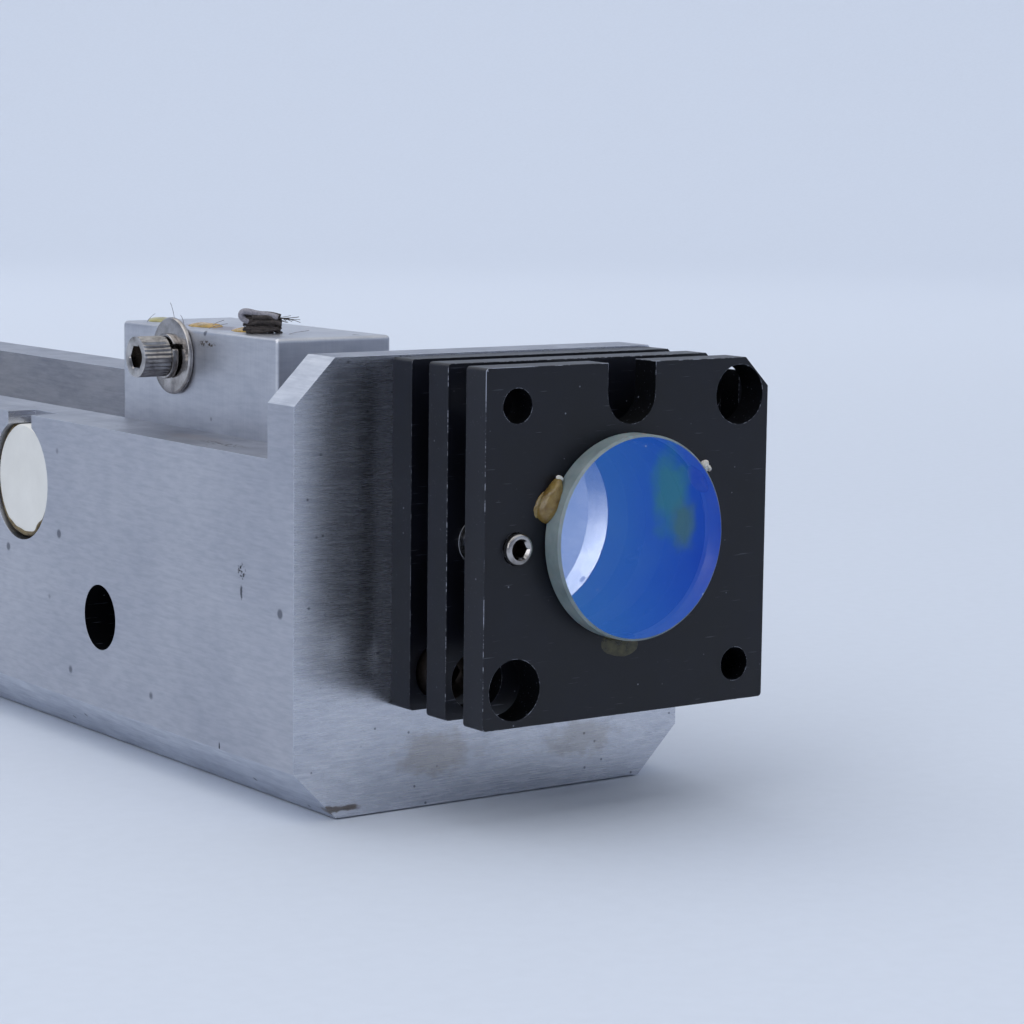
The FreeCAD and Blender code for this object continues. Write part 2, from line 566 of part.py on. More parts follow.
def buildFasteners():
    plates = [place(capScrew("PlateScrew%d" % i, "Four", screwLengths["plate"]), x,
                    frontFace + " - Dims.rearThick / 2", z, towardsFront)
              for i, (x, z) in enumerate(platePoints(1))]
    keep(group("PlateScrews", plates), "rear_plate_screws")
    down = Rotation(Vector(1, 0, 0), 180)
    bolts = [place(capScrew("BlockBolt%d" % i, "Four", screwLengths["block"]), x, y,
                   "Dims.floorThick / 2", down)
             for i, (x, y) in enumerate(floorBolts[:2])]
    keep(group("BlockBolts", bolts), "block_bolts")
    keep(place(capScrew("SamplerBolt", "Four", screwLengths["sampler"]), floorBolts[2][0], floorBolts[2][1],
               "Dims.floorThick / 2", down), "sampler_bolt")
    cell = [place(capScrew("CellScrew%d" % i, "TwoHalf", screwLengths["cell"]), x,
                  backFace + " - Dims.endPlate - Dims.cellFlangeThick", z, towardsFront)
            for i, (x, z) in enumerate(cellPoints)]
    keep(group("CellScrews", cell), "cell_screws")
    case = [place(capScrew("CaseScrew%d" % i, "Three", screwLengths["case"]), x,
                  backFace + " + Dims.caseDepth - Dims.caseEnd", z, alongY)
            for i, (x, z) in enumerate(casePoints)]
    keep(group("CaseScrews", case), "case_screws")


# ---------------------------------------------------------------- clamp block
def buildBlock():
    body = newBody("Block")
    outline = newSketch(body, "BlockOutline", "XY_Plane", "Dims.floorThick")
    rectangle(outline, innerWall, innerWall + " + Dims.blockWidth", frontFace + " + Dims.blockStart",
              frontFace + " + Dims.blockStart + Dims.blockLength")
    solid = pad(body, "BlockSolid", outline, "Dims.blockTop - Dims.floorThick")
    floor = sheet.floorThick
    dress(body, "Fillet", "BlockEdges", solid, lambda a, b: max(a.z, b.z) > floor + tiny, "Dims.blockFillet")
    thread = newSketch(body, "BlockThreadOutline", "YZ_Plane", innerWall)
    circle(thread, frontFace + " + Dims.blockScrewY", "Dims.blockScrewZ", "Dims.threadThree")
    pocket(body, "BlockThread", thread, "Dims.blockThread", True)
    wires = newSketch(body, "BlockWireOutline", "YZ_Plane", innerWall)
    circle(wires, frontFace + " + Dims.wireHoleY", "Dims.wireHoleZ", "Dims.wireHoleRadius")
    pocket(body, "BlockWireHole", wires, "Dims.blockWidth", True)
    bolts = newSketch(body, "BlockBoltOutline", "XY_Plane", "Dims.floorThick")
    for x, y in floorBolts[:2]:
        circle(bolts, x, y, "Dims.adjusterHole")
    pocket(body, "BlockBoltThreads", bolts, "Dims.boltThread", True)
    keep(body, "clamp_block")


def buildBlockHardware():
    screwY = frontFace + " + Dims.blockScrewY"
    flat = tube("FlatWasherBody", "Dims.flatWasher", "Dims.clearHoleThree", "Dims.flatWasherThick",
                innerWall, screwY, "Dims.blockScrewZ", towardsLeft)
    keep(flat, "flat_washer")
    ring = tube("SpringWasherRing", "Dims.springWasher", "Dims.clearHoleThree", "Dims.springWasherThick")
    split = box("SpringWasherSplit", "2 * Dims.springWasher", "Dims.washerSplit", "Dims.springWasherThick",
                "0", "0 - Dims.washerSplit / 2")
    washer = place(cut("SpringWasherBody", ring, [split]), innerWall + " - Dims.flatWasherThick", screwY,
                   "Dims.blockScrewZ", towardsLeft)
    keep(washer, "spring_washer")
    screw = capScrew("BlockScrew", "Three", screwLengths["hold"])
    keep(place(screw, innerWall + " - Dims.flatWasherThick - Dims.springWasherThick", screwY,
               "Dims.blockScrewZ", towardsLeft), "block_screw")


# glue spots on the block's top: place from the inner wall and the front face, then half sizes
glueSpots = [
    {"across": "4.0", "along": "58.0", "wide": "1.7", "long": "3.0"},
    {"across": "4.0", "along": "46.0", "wide": "2.0", "long": "3.4"},
    {"across": "4.3", "along": "35.0", "wide": "2.0", "long": "3.0"},
]


def halfDome(name, wide, long, high, across, along):
    """Upper half of an ellipsoid standing on the block's top."""
    x = "%s + %s" % (innerWall, across)
    y = "%s + %s" % (frontFace, along)
    dome = ellipsoid(name + "Dome", wide, long, high, x, y, "Dims.blockTop")
    under = box(name + "Under", "2 * " + wide, "2 * " + long, high, "%s - %s" % (x, wide),
                "%s - %s" % (y, long), "Dims.blockTop - " + high)
    return cut(name, dome, [under])


def buildGlue():
    blobs = [halfDome("Glue%d" % i, spot["wide"], spot["long"], "Dims.glueHeight", spot["across"],
                      spot["along"])
             for i, spot in enumerate(glueSpots)]
    keep(group("BlockGlue", blobs), "block_glue")
    keep(halfDome("Tuft", "Dims.tuftWide", "Dims.tuftLong", "Dims.tuftHeight", "Dims.tuftAcross",
                  "Dims.tuftAlong"), "fibre_tuft")


# ---------------------------------------------------------------- front mirror
# adhesive dabs round the mirror's rim: angle from +X, half sizes along and across the rim's radius
dabs = [
    {"turn": 152, "along": "1.9", "across": "3.1"},
    {"turn": 32, "along": "1.3", "across": "2.8"},
    {"turn": 267, "along": "1.6", "across": "3.4"},
]


def buildMirror():
    x = beamX + " + Dims.mirrorX"
    z = beamZ + " + Dims.mirrorZ"
    body = newBody("Mirror")
    outline = newSketch(body, "MirrorOutline", "XZ_Plane", "0 - (%s)" % frontPlateFace)
    circle(outline, x, z, "Dims.mirrorRadius")
    disc = pad(body, "MirrorDisc", outline, "Dims.mirrorThick")
    bevel = body.newObject("PartDesign::Chamfer", "MirrorBevel")
    bevel.Base = (disc, ["Edge%d" % (i + 1) for i, edge in enumerate(disc.Shape.Edges)
                         if edge.Closed and len(edge.Vertexes) == 1])
    bevel.setExpression("Size", "Dims.mirrorBevel")
    doc.recompute()
    keep(body, "front_mirror")
    pieces = []
    for i, dab in enumerate(dabs):
        reach = "(Dims.mirrorRadius + Dims.dabOutside)"
        blob = doc.addObject("Part::Ellipsoid", "Dab%d" % i)
        bind(blob, Radius2=dab["along"], Radius3=dab["across"], Radius1="Dims.dabHeight")
        place(blob, "%s + %s * cos(%d)" % (x, reach, dab["turn"]), frontPlateFace,
              "%s + %s * sin(%d)" % (z, reach, dab["turn"]),
              Rotation(Vector(0, 1, 0), -dab["turn"]).multiply(towardsFront))
        half = "Dims.plateSize / 2"
        behind = box("DabBehind%d" % i, "Dims.plateSize", "Dims.plateThick", "Dims.plateSize",
                     "%s - %s" % (beamX, half), frontPlateFace, "%s - %s" % (beamZ, half))
        rim = cylinder("DabRim%d" % i, "Dims.mirrorRadius", "2 * Dims.dabHeight", x,
                       frontPlateFace + " - 2 * Dims.dabHeight", z, alongY)
        pieces.append(cut("AdhesiveDab%d" % i, blob, [behind, rim]))
    keep(group("MirrorAdhesive", pieces), "mirror_adhesive")


# ---------------------------------------------------------------- side port
def buildPort():
    y = frontFace + " + Dims.portY"
    disc = cylinder("PortDiscBody", "Dims.discRadius", "Dims.discThick", wallFace + " + Dims.discRecess", y,
                    "Dims.portZ", alongX)
    keep(disc, "port_disc")
    ring = tube("PortGlueRing", "Dims.portRadius", "Dims.discRadius", "Dims.discThick",
                wallFace + " + Dims.discRecess", y, "Dims.portZ", alongX)
    slot = box("PortGlueSlot", "Dims.bodyWidth", "Dims.slotWidth", "Dims.bodyHeight", wallFace,
               y + " - Dims.slotWidth / 2", "Dims.portZ")
    keep(cut("PortGlue", ring, [slot]), "port_glue")


# ---------------------------------------------------------------- beam sampler
def buildSampler():
    base = box("SamplerBlock", "Dims.samplerWidth", "Dims.samplerDepth", "Dims.samplerHeight",
               beamX + " - Dims.samplerWidth / 2", samplerY + " - Dims.samplerDepth / 2", "Dims.floorThick")
    hole = cylinder("SamplerThread", "Dims.adjusterHole", "Dims.samplerThread", beamX, samplerY,
                    "Dims.floorThick")

    def acrossTheBeam(name, width, thick, height):
        """Upright slab through the beam's centre, turned 45 degrees, standing on the groove's bottom."""
        along = "(%s) / 2 * cos(45)" % width
        through = "(%s) / 2 * sin(45)" % thick
        return box(name, width, thick, height, "%s - %s + %s" % (beamX, along, through),
                   "%s - %s - %s" % (samplerY, along, through),
                   "Dims.floorThick + Dims.samplerHeight - Dims.grooveDepth", Rotation(Vector(0, 0, 1), 45))

    groove = acrossTheBeam("SamplerGroove", "Dims.glassWidth + 2 * Dims.grooveSpare",
                           "Dims.glassThick + 2 * Dims.glassPlay", "2 * Dims.grooveDepth")
    keep(cut("SamplerHolder", base, [hole, groove]), "sampler_holder")
    keep(acrossTheBeam("SamplerGlass", "Dims.glassWidth", "Dims.glassThick", "Dims.glassHeight"),
         "sampler_glass")


# ---------------------------------------------------------------- far mirror and detector
def buildFarEnd():
    inner = backFace + " - Dims.endPlate"
    flange = cylinder("CellFlange", "Dims.cellFlange", "Dims.cellFlangeThick", beamX,
                      inner + " - Dims.cellFlangeThick", beamZ, alongY)
    spigot = cylinder("CellSpigot", "Dims.cellSpigot - Dims.threadGap", "Dims.endPlate", beamX, inner, beamZ,
                      alongY)
    start = inner + " - Dims.cellFlangeThick"
    deep = "Dims.cellFlangeThick + Dims.endPlate"
    way = cylinder("CellWay", "Dims.cellBore", deep, beamX, start, beamZ, alongY)
    holes = [cylinder("CellHole%d" % i, "Dims.cellScrewHole", deep, x, start, z, alongY)
             for i, (x, z) in enumerate(cellPoints)]
    keep(cut("MirrorCell", join("CellSolid", [flange, spigot]), [way] + holes), "mirror_cell")
    piezoY = start + " - Dims.piezoThick"
    keep(tube("PiezoBody", "Dims.piezoOuter", "Dims.piezoInner", "Dims.piezoThick", beamX, piezoY, beamZ,
              alongY), "piezo_ring")
    keep(cylinder("FarMirrorBody", "Dims.farMirrorRadius", "Dims.farMirrorThick", beamX,
                  piezoY + " - Dims.farMirrorThick", beamZ, alongY), "far_mirror")


def buildDetector():
    body = newBody("Case")
    outline = newSketch(body, "CaseOutline", "XZ_Plane", "0 - " + backFace)
    half = "Dims.caseSize / 2"
    rectangle(outline, beamX + " - " + half, beamX + " + " + half, beamZ + " - " + half, beamZ + " + " + half)
    solid = pad(body, "CaseSolid", outline, "Dims.caseDepth", True)
    dress(body, "Fillet", "CaseCorners", solid, lambda a, b: lengthwise(a, b, 1), "Dims.caseCorner")
    steps = (("CaseSeat", "Dims.boardRadius + Dims.boardPlay", "Dims.boardSeat"),
             ("CaseHollow", "Dims.boardRadius - Dims.boardLedge", "Dims.caseDepth - Dims.caseEnd"),
             ("CaseSocketHole", "Dims.socketRadius", "Dims.caseDepth"))
    for name, radius, depth in steps:
        sketch = newSketch(body, name + "Outline", "XZ_Plane", "0 - " + backFace)
        circle(sketch, beamX, beamZ, radius)
        pocket(body, name, sketch, depth)
    screws = newSketch(body, "CaseScrewOutline", "XZ_Plane", "0 - " + backFace)
    recess = newSketch(body, "CaseHeadOutline", "XZ_Plane",
                       "0 - (%s + Dims.caseDepth - Dims.caseEnd)" % backFace)
    for x, z in casePoints:
        circle(screws, x, z, "Dims.clearHoleThree")
        circle(recess, x, z, "Dims.caseHeadRecess")
    pocket(body, "CaseScrewHoles", screws, "Dims.caseDepth")
    pocket(body, "CaseHeadRecess", recess, "Dims.caseEnd")
    keep(body, "detector_case")

    boardY = backFace + " + Dims.boardSeat - Dims.boardThick"
    keep(cylinder("BoardBody", "Dims.boardRadius", "Dims.boardThick", beamX, boardY, beamZ, alongY),
         "detector_board")
    ringY = boardY + " - Dims.ringThick"
    keep(tube("RingBody", "Dims.boardRadius", "Dims.ringInner", "Dims.ringThick", beamX, ringY, beamZ,
              alongY), "board_ring")
    can = cylinder("DiodeCan", "Dims.diodeRadius - Dims.diodeBrim", "Dims.diodeLength", beamX,
                   boardY + " - Dims.diodeLength", beamZ, alongY)
    brim = cylinder("DiodeBrim", "Dims.diodeRadius", "Dims.diodeBrimThick", beamX,
                    boardY + " - Dims.diodeBrimThick", beamZ, alongY)
    keep(join("Diode", [can, brim]), "photodiode")

    outer = backFace + " + Dims.caseDepth"
    barrel = cylinder("SocketBarrel", "Dims.socketRadius", "Dims.socketLength + Dims.caseEnd", beamX,
                      outer + " - Dims.caseEnd", beamZ, alongY)
    collar = cylinder("SocketCollar", "Dims.collarRadius", "Dims.collarThick", beamX, outer, beamZ, alongY)
    hollow = cylinder("SocketHollow", "Dims.socketRadius - Dims.socketWall",
                      "Dims.socketLength - Dims.socketFloor", beamX, outer + " + Dims.socketFloor", beamZ,
                      alongY)
    pin = cylinder("SocketPin", "Dims.contactRadius",
                   "Dims.socketLength - Dims.socketFloor - Dims.contactBack", beamX,
                   outer + " + Dims.socketFloor - Dims.contactFoot", beamZ, alongY)
    shell = cut("SocketShell", join("SocketSolid", [barrel, collar]), [hollow])
    keep(join("Socket", [shell, pin]), "signal_socket")


buildChassis()
buildRearPlate()
buildPitchPlate()
buildYawPlate()
buildPivots()
buildAdjuster("yaw", yawAdjusterX, beamZ, middleFront)
buildAdjuster("pitch", beamX, pitchAdjusterZ, rearPlateFront)
buildSprings("yaw", yawSprings, frontBack, middleFront, False, ("front_spring_pins", "middle_front_pins"))
buildSprings("pitch", pitchSprings, middleBack, rearPlateFront, True,
             ("middle_back_pins", "rear_spring_pins"))
buildFasteners()
buildBlock()
buildBlockHardware()
buildGlue()
buildMirror()
buildPort()
buildSampler()
buildFarEnd()
buildDetector()
doc.recompute()

# ---------------------------------------------------------------- check and export
for item in doc.Objects:
    if "Invalid" in item.State or "Error" in item.State:
        raise RuntimeError("%s failed: %s" % (item.Name, item.State))
os.makedirs("parts", exist_ok=True)
for piece in nodes:
    if piece.Shape.isNull() or not piece.Shape.isValid():
        raise RuntimeError(piece.Label + " has no valid shape")
for piece in nodes:
    piece.Shape.exportStep("parts/%s.step" % piece.Label)
    print("%-20s solids %d volume %.1f" % (piece.Label, len(piece.Shape.Solids), piece.Shape.Volume))
print(len(nodes), "nodes")
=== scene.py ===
import json
import math
import random
import bmesh
import bpy
from mathutils import Matrix, Vector, noise


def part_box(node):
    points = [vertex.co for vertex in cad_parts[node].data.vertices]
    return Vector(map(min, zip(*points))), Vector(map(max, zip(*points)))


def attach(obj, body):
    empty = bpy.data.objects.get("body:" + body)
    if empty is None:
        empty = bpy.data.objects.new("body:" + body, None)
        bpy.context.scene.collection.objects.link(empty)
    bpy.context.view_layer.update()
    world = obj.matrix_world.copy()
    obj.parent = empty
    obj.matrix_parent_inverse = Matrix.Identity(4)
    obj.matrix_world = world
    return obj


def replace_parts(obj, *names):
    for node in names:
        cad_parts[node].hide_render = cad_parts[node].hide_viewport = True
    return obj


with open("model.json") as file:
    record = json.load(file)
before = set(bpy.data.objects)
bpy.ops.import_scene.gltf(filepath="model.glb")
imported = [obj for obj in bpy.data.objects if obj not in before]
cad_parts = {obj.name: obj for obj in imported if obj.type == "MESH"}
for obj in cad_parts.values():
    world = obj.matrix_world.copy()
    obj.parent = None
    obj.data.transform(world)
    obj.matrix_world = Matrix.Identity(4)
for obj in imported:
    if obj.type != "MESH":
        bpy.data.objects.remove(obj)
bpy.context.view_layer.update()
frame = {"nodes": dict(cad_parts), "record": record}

mm = 0.001
insetStep = 0.01
fineWeld = 0.001 * mm
cadWeld = 0.002 * mm
nodes = frame["nodes"]
scene = bpy.context.scene
scene.view_settings.view_transform = "Standard"
bodyOf = {n: body for body, members in frame["record"]["behaviour"]["bodies"].items() for n in members}


def boxOf(node):
    low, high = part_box(node)
    return Vector(low), Vector(high)


def centreOf(node):
    low, high = boxOf(node)
    return (low + high) / 2


# materials

def hexColour(code):
    # sRGB hex to the linear values that shaders take
    values = [int(code[i:i + 2], 16) / 255 for i in (1, 3, 5)]
    linear = [v / 12.92 if v < 0.04045 else ((v + 0.055) / 1.055) ** 2.4 for v in values]
    return (*linear, 1.0)


def addNode(tree, kind, values=None, links=None, **settings):
    # one node: its settings, its socket values, and links from (node, output) pairs
    made = tree.nodes.new(kind)
    for key, value in settings.items():
        setattr(made, key, value)
    for key, value in (values or {}).items():
        made.inputs[key].default_value = value
    for key, (source, output) in (links or {}).items():
        tree.links.new(source.outputs[output], made.inputs[key])
    return made


def newMaterial(name, **values):
    material = bpy.data.materials.new(name)
    material.use_nodes = True
    tree = material.node_tree
    shader = tree.nodes["Principled BSDF"]
    for key, value in values.items():
        shader.inputs[key.replace("_", " ")].default_value = value
    coords = addNode(tree, "ShaderNodeTexCoord")
    return material, tree, shader, coords


def scaledCoords(tree, coords, stretch=(1, 1, 1), turn=(0, 0, 0), place=(0, 0, 0)):
    return addNode(tree, "ShaderNodeMapping", {"Scale": stretch, "Rotation": turn, "Location": place},
                   {"Vector": (coords, "Object")})


def grain(tree, vector, size, detail=3.0, roughness=0.6):
    # noise whose features are about size millimetres across
    return addNode(tree, "ShaderNodeTexNoise",
                   {"Scale": 1 / (size * mm), "Detail": detail, "Roughness": roughness},
                   {"Vector": (vector, 0)})


def ramp(tree, source, output, stops):
    made = addNode(tree, "ShaderNodeValToRGB", links={"Fac": (source, output)})
    elements = made.color_ramp.elements
    while len(elements) < len(stops):
        elements.new(0.5)
    for element, (place, colour) in zip(elements, stops):
        element.position = place
        element.color = hexColour(colour) if isinstance(colour, str) else (colour, colour, colour, 1)
    return made


def blendColour(tree, factor, first, second, mode="MIX"):
    # colours come as (node, output) pairs or hex codes; the result is at output 2
    made = addNode(tree, "ShaderNodeMix", data_type="RGBA", blend_type=mode)
    for socket, value in (("Factor", factor), ("A", first), ("B", second)):
        target = [s for s in made.inputs if s.name == socket and s.enabled][0]
        if isinstance(value, tuple):
            tree.links.new(value[0].outputs[value[1]], target)
        elif isinstance(value, str):
            target.default_value = hexColour(value)
        else:
            target.default_value = value
    return made


def maths(tree, operation, first, second=0.0):
    made = addNode(tree, "ShaderNodeMath", operation=operation)
    for i, value in enumerate((first, second)):
        if isinstance(value, tuple):
            tree.links.new(value[0].outputs[value[1]], made.inputs[i])
        else:
            made.inputs[i].default_value = value
    return made


def bumped(tree, shader, height, output, strength, distance):
    made = addNode(tree, "ShaderNodeBump", {"Strength": strength, "Distance": distance * mm},
                   {"Height": (height, output)})
    tree.links.new(made.outputs["Normal"], shader.inputs["Normal"])


def roughened(tree, shader, source, output, low, high):
    made = addNode(tree, "ShaderNodeMapRange", {"To Min": low, "To Max": high}, {"Value": (source, output)})
    tree.links.new(made.outputs["Result"], shader.inputs["Roughness"])


def markMask(tree, coords, mark):
    # 1 inside a ragged spot around a place in millimetres, 0 outside; speck breaks it into dots
    reach = mark["reach"]
    shift = [-c / r for c, r in zip(mark["at"], reach)]
    local = scaledCoords(tree, coords, [1 / (r * mm) for r in reach], place=shift)
    away = addNode(tree, "ShaderNodeVectorMath", operation="LENGTH", links={0: (local, 0)})
    wobble = grain(tree, scaledCoords(tree, coords), mark.get("ragged", 1.0), 3, 0.6)
    spread = maths(tree, "MULTIPLY", (wobble, "Fac"), mark.get("uneven", 0.9))
    total = maths(tree, "ADD", (away, "Value"), (spread, "Value"))
    mask = ramp(tree, total, "Value", [(mark.get("start", 0.75), mark.get("full", 1.0)), (1.0, 0.0)])
    if "speck" not in mark:
        return mask, "Color"
    dots = ramp(tree, grain(tree, scaledCoords(tree, coords), mark["speck"], 2, 0.5), "Fac",
                [(0.5, 0.0), (0.56, 1.0)])
    return maths(tree, "MULTIPLY", (mask, "Color"), (dots, "Color")), "Value"


def marked(tree, coords, base, marks):
    # lays each mark's colour over the base colour
    for mark in marks:
        base = (blendColour(tree, markMask(tree, coords, mark), base, mark["colour"]), 2)
    return base


def aluminium(name, look, marks=()):
    # bare aluminium stock: drawn or milled lines too fine to count, clouded by handling, with a few pits
    material, tree, shader, coords = newMaterial(name, Metallic=look.get("metal", 1.0),
                                                 Roughness=look["rough"])
    stretch = [1.0, 1.0, 1.0]
    stretch["XYZ".index(look["along"])] = 0.04
    lines = grain(tree, scaledCoords(tree, coords, stretch), look["line"], 5, 0.65)
    sweep = grain(tree, scaledCoords(tree, coords, (0.2, 0.2, 1.0), look["tilt"]), look["line"] * 2.2, 4, 0.6)
    cloud = grain(tree, scaledCoords(tree, coords), look["cloud"], 3, 0.5)
    base = ramp(tree, lines, "Fac", [(0.25, look["dark"]), (0.75, look["light"])])
    swept = ramp(tree, sweep, "Fac", [(0.35, look["sweep"]), (0.6, "#ffffff")])
    tinted = blendColour(tree, 0.5, (base, "Color"), (swept, "Color"), "MULTIPLY")
    haze = ramp(tree, cloud, "Fac", [(0.3, "#d9dce3"), (0.7, "#ffffff")])
    hazed = blendColour(tree, 0.5, (tinted, 2), (haze, "Color"), "MULTIPLY")
    pits = addNode(tree, "ShaderNodeTexVoronoi", {"Scale": 1 / (look["pit"] * mm), "Randomness": 1.0},
                   {"Vector": (scaledCoords(tree, coords), 0)})
    holes = ramp(tree, pits, "Distance", [(0.05, 1.0), (0.085, 0.0)])
    depth = maths(tree, "MULTIPLY", (holes, "Color"), 0.75)
    pitted = blendColour(tree, (depth, "Value"), (hazed, 2), "#4b4f5b")
    final = marked(tree, coords, (pitted, 2), marks)
    tree.links.new(final[0].outputs[final[1]], shader.inputs["Base Color"])
    roughened(tree, shader, lines, "Fac", look["rough"] - 0.07, look["rough"] + 0.09)
    both = maths(tree, "ADD", (lines, "Fac"), (sweep, "Fac"))
    bumped(tree, shader, both, "Value", look["bump"], 0.02)
    return material


def blackAnodised(name, look, marks=()):
    # satin black anodised aluminium: dust, fine rubbing, and bare metal where an edge is worn; on the
    # worn-edge copy that bare metal is partly painted sheen
    material, tree, shader, coords = newMaterial(name, Metallic=0.0, Roughness=look["rough"],
                                                 IOR=look.get("ior", 1.42))
    fine = grain(tree, scaledCoords(tree, coords), 0.25, 3, 0.6)
    broad = grain(tree, scaledCoords(tree, coords), 9, 4, 0.6)
    base = ramp(tree, broad, "Fac", [(0.3, look["dark"]), (0.7, look["light"])])
    dust = addNode(tree, "ShaderNodeTexVoronoi", {"Scale": 1 / (look["dust"] * mm)},
                   {"Vector": (scaledCoords(tree, coords), 0)})
    dots = ramp(tree, dust, "Distance", [(0.03, 0.8), (0.07, 0.0)])
    patchy = ramp(tree, grain(tree, scaledCoords(tree, coords), 6, 3, 0.6), "Fac", [(0.46, 0.0), (0.6, 1.0)])
    speckled = maths(tree, "MULTIPLY", (dots, "Color"), (patchy, "Color"))
    rubs = grain(tree, scaledCoords(tree, coords, (0.06, 1, 1), (0, 0.35, 0)), 0.25, 2, 0.5)
    rubbed = ramp(tree, rubs, "Fac", [(0.68, 0.0), (0.74, 0.22)])
    dusty = blendColour(tree, (speckled, "Value"), (base, "Color"), "#8b8f9c")
    scuffed = blendColour(tree, (rubbed, "Color"), (dusty, 2), "#7d818e")
    colour = (scuffed, 2)
    if look["wear"]:
        worn = ramp(tree, grain(tree, scaledCoords(tree, coords), 1.1, 5, 0.75), "Fac",
                    [(0.66 - look["wear"] * 0.3, 0.0), (0.74 - look["wear"] * 0.3, 0.85)])
        total = (worn, "Color")
        for mark in marks:
            mask = markMask(tree, coords, mark)
            total = (maths(tree, "MAXIMUM", total, mask), "Value")
        colour = (blendColour(tree, total, colour, "#a9adb8"), 2)
        tree.links.new(total[0].outputs[total[1]], shader.inputs["Metallic"])
    tree.links.new(colour[0].outputs[colour[1]], shader.inputs["Base Color"])
    roughened(tree, shader, broad, "Fac", look["rough"] - 0.05, look["rough"] + 0.1)
    bumped(tree, shader, fine, "Fac", 0.12, 0.02)
    return material


def polishedSteel(name, colour, shade, rough):
    # plated or hardened screw steel: turning marks, a little tarnish
    material, tree, shader, coords = newMaterial(name, Metallic=1.0, Roughness=rough)
    marks = grain(tree, scaledCoords(tree, coords), 0.2, 3, 0.5)
    stain = grain(tree, scaledCoords(tree, coords), 2.4, 3, 0.6)
    tone = ramp(tree, stain, "Fac", [(0.3, shade), (0.62, colour)])
    tree.links.new(tone.outputs["Color"], shader.inputs["Base Color"])
    roughened(tree, shader, marks, "Fac", rough * 0.75, rough * 1.5)
    bumped(tree, shader, marks, "Fac", 0.08, 0.01)
    return material


def castPlastic(name, light, dark, rough, size=0.8, bump=0.2, seeThrough=0.0, alpha=1.0):
    # cured glue, moulded or turned plastic: cloudy colour and a slightly uneven skin
    material, tree, shader, coords = newMaterial(name, Roughness=rough, IOR=1.5, Alpha=alpha)
    cloud = grain(tree, scaledCoords(tree, coords), size, 4, 0.6)
    tone = ramp(tree, cloud, "Fac", [(0.3, dark), (0.7, light)])
    tree.links.new(tone.outputs["Color"], shader.inputs["Base Color"])
    shader.inputs["Subsurface Weight"].default_value = seeThrough
    shader.inputs["Subsurface Radius"].default_value = (1.0, 0.7, 0.3)
    shader.inputs["Subsurface Scale"].default_value = 0.8 * mm
    bumped(tree, shader, cloud, "Fac", bump, 0.1)
    return material


opticMiddle = centreOf("front_mirror") / mm
# painted light: the light stop and the teal patches stand for lit parts of the bore and the plate gaps seen
# through the optic
filmLook = {
    "deep": "#1f52d8", "main": "#3777e2", "light": "#4a8ee0",
    "paintedGlowPatches": [
        {"at": (opticMiddle.x + 4.2, opticMiddle.y, opticMiddle.z + 5.2), "reach": (5.6, 40, 9.5),
         "ragged": 2.5, "uneven": 0.7, "start": 0.6, "full": 0.85, "colour": "#4a9aa6"},
        {"at": (opticMiddle.x + 6.3, opticMiddle.y, opticMiddle.z + 1.4), "reach": (3.6, 40, 6.0),
         "ragged": 2.0, "uneven": 0.7, "start": 0.6, "full": 0.8, "colour": "#5f8f86"},
    ],
}


def interferenceFilm():
    # dielectric mirror coating: reflects blue and lets the rest through; painted light makes it lighter
    # towards -X and teal in two patches, standing for lit bore walls and plate gaps seen through it
    material, tree, shader, coords = newMaterial("interferenceFilm", Metallic=1.0, Roughness=0.04, Alpha=0.62)
    across = addNode(tree, "ShaderNodeSeparateXYZ", links={0: (scaledCoords(tree, coords), 0)})
    wobble = grain(tree, scaledCoords(tree, coords), 7, 2, 0.5)
    # painted light: lighter towards -X, where lit bore walls show through
    paintedGlowSlide = maths(tree, "ADD", (maths(tree, "MULTIPLY", (across, "X"), 40.0), "Value"),
                  (maths(tree, "MULTIPLY", (wobble, "Fac"), 0.35), "Value"))
    tone = ramp(tree, paintedGlowSlide, "Value", [(0.0, filmLook["light"]), (0.45, filmLook["main"]),
                                       (0.95, filmLook["deep"])])
    film = marked(tree, coords, (tone, "Color"), filmLook["paintedGlowPatches"])
    dust = addNode(tree, "ShaderNodeTexVoronoi", {"Scale": 1 / (3.1 * mm)},
                   {"Vector": (scaledCoords(tree, coords), 0)})
    dots = ramp(tree, dust, "Distance", [(0.02, 0.9), (0.05, 0.0)])
    dusty = blendColour(tree, (dots, "Color"), film, "#c9d8f0")
    tree.links.new(dusty.outputs[2], shader.inputs["Base Color"])
    return material


def clearGlass(name, tint, alpha):
    # polished optical glass seen face on
    material, tree, shader, coords = newMaterial(name, Roughness=0.03, IOR=1.5, Alpha=alpha)
    smear = grain(tree, scaledCoords(tree, coords), 6, 3, 0.5)
    tone = ramp(tree, smear, "Fac", [(0.3, tint), (0.7, "#dfe9ee")])
    tree.links.new(tone.outputs["Color"], shader.inputs["Base Color"])
    return material


def groundGlass():
    # the optic's edge, ground with 30 micron grit, drawn coarser so that it shows: pale with a green cast
    material, tree, shader, coords = newMaterial("groundGlassEdge", Roughness=0.42, IOR=1.52)
    grit = grain(tree, scaledCoords(tree, coords), 0.12, 3, 0.7)
    broad = grain(tree, scaledCoords(tree, coords), 4, 3, 0.6)
    tone = ramp(tree, broad, "Fac", [(0.3, "#6b797b"), (0.7, "#8b9799")])
    tree.links.new(tone.outputs["Color"], shader.inputs["Base Color"])
    shader.inputs["Subsurface Weight"].default_value = 0.3
    shader.inputs["Subsurface Scale"].default_value = 1.0 * mm
    bumped(tree, shader, grit, "Fac", 0.2, 0.03)
    return material


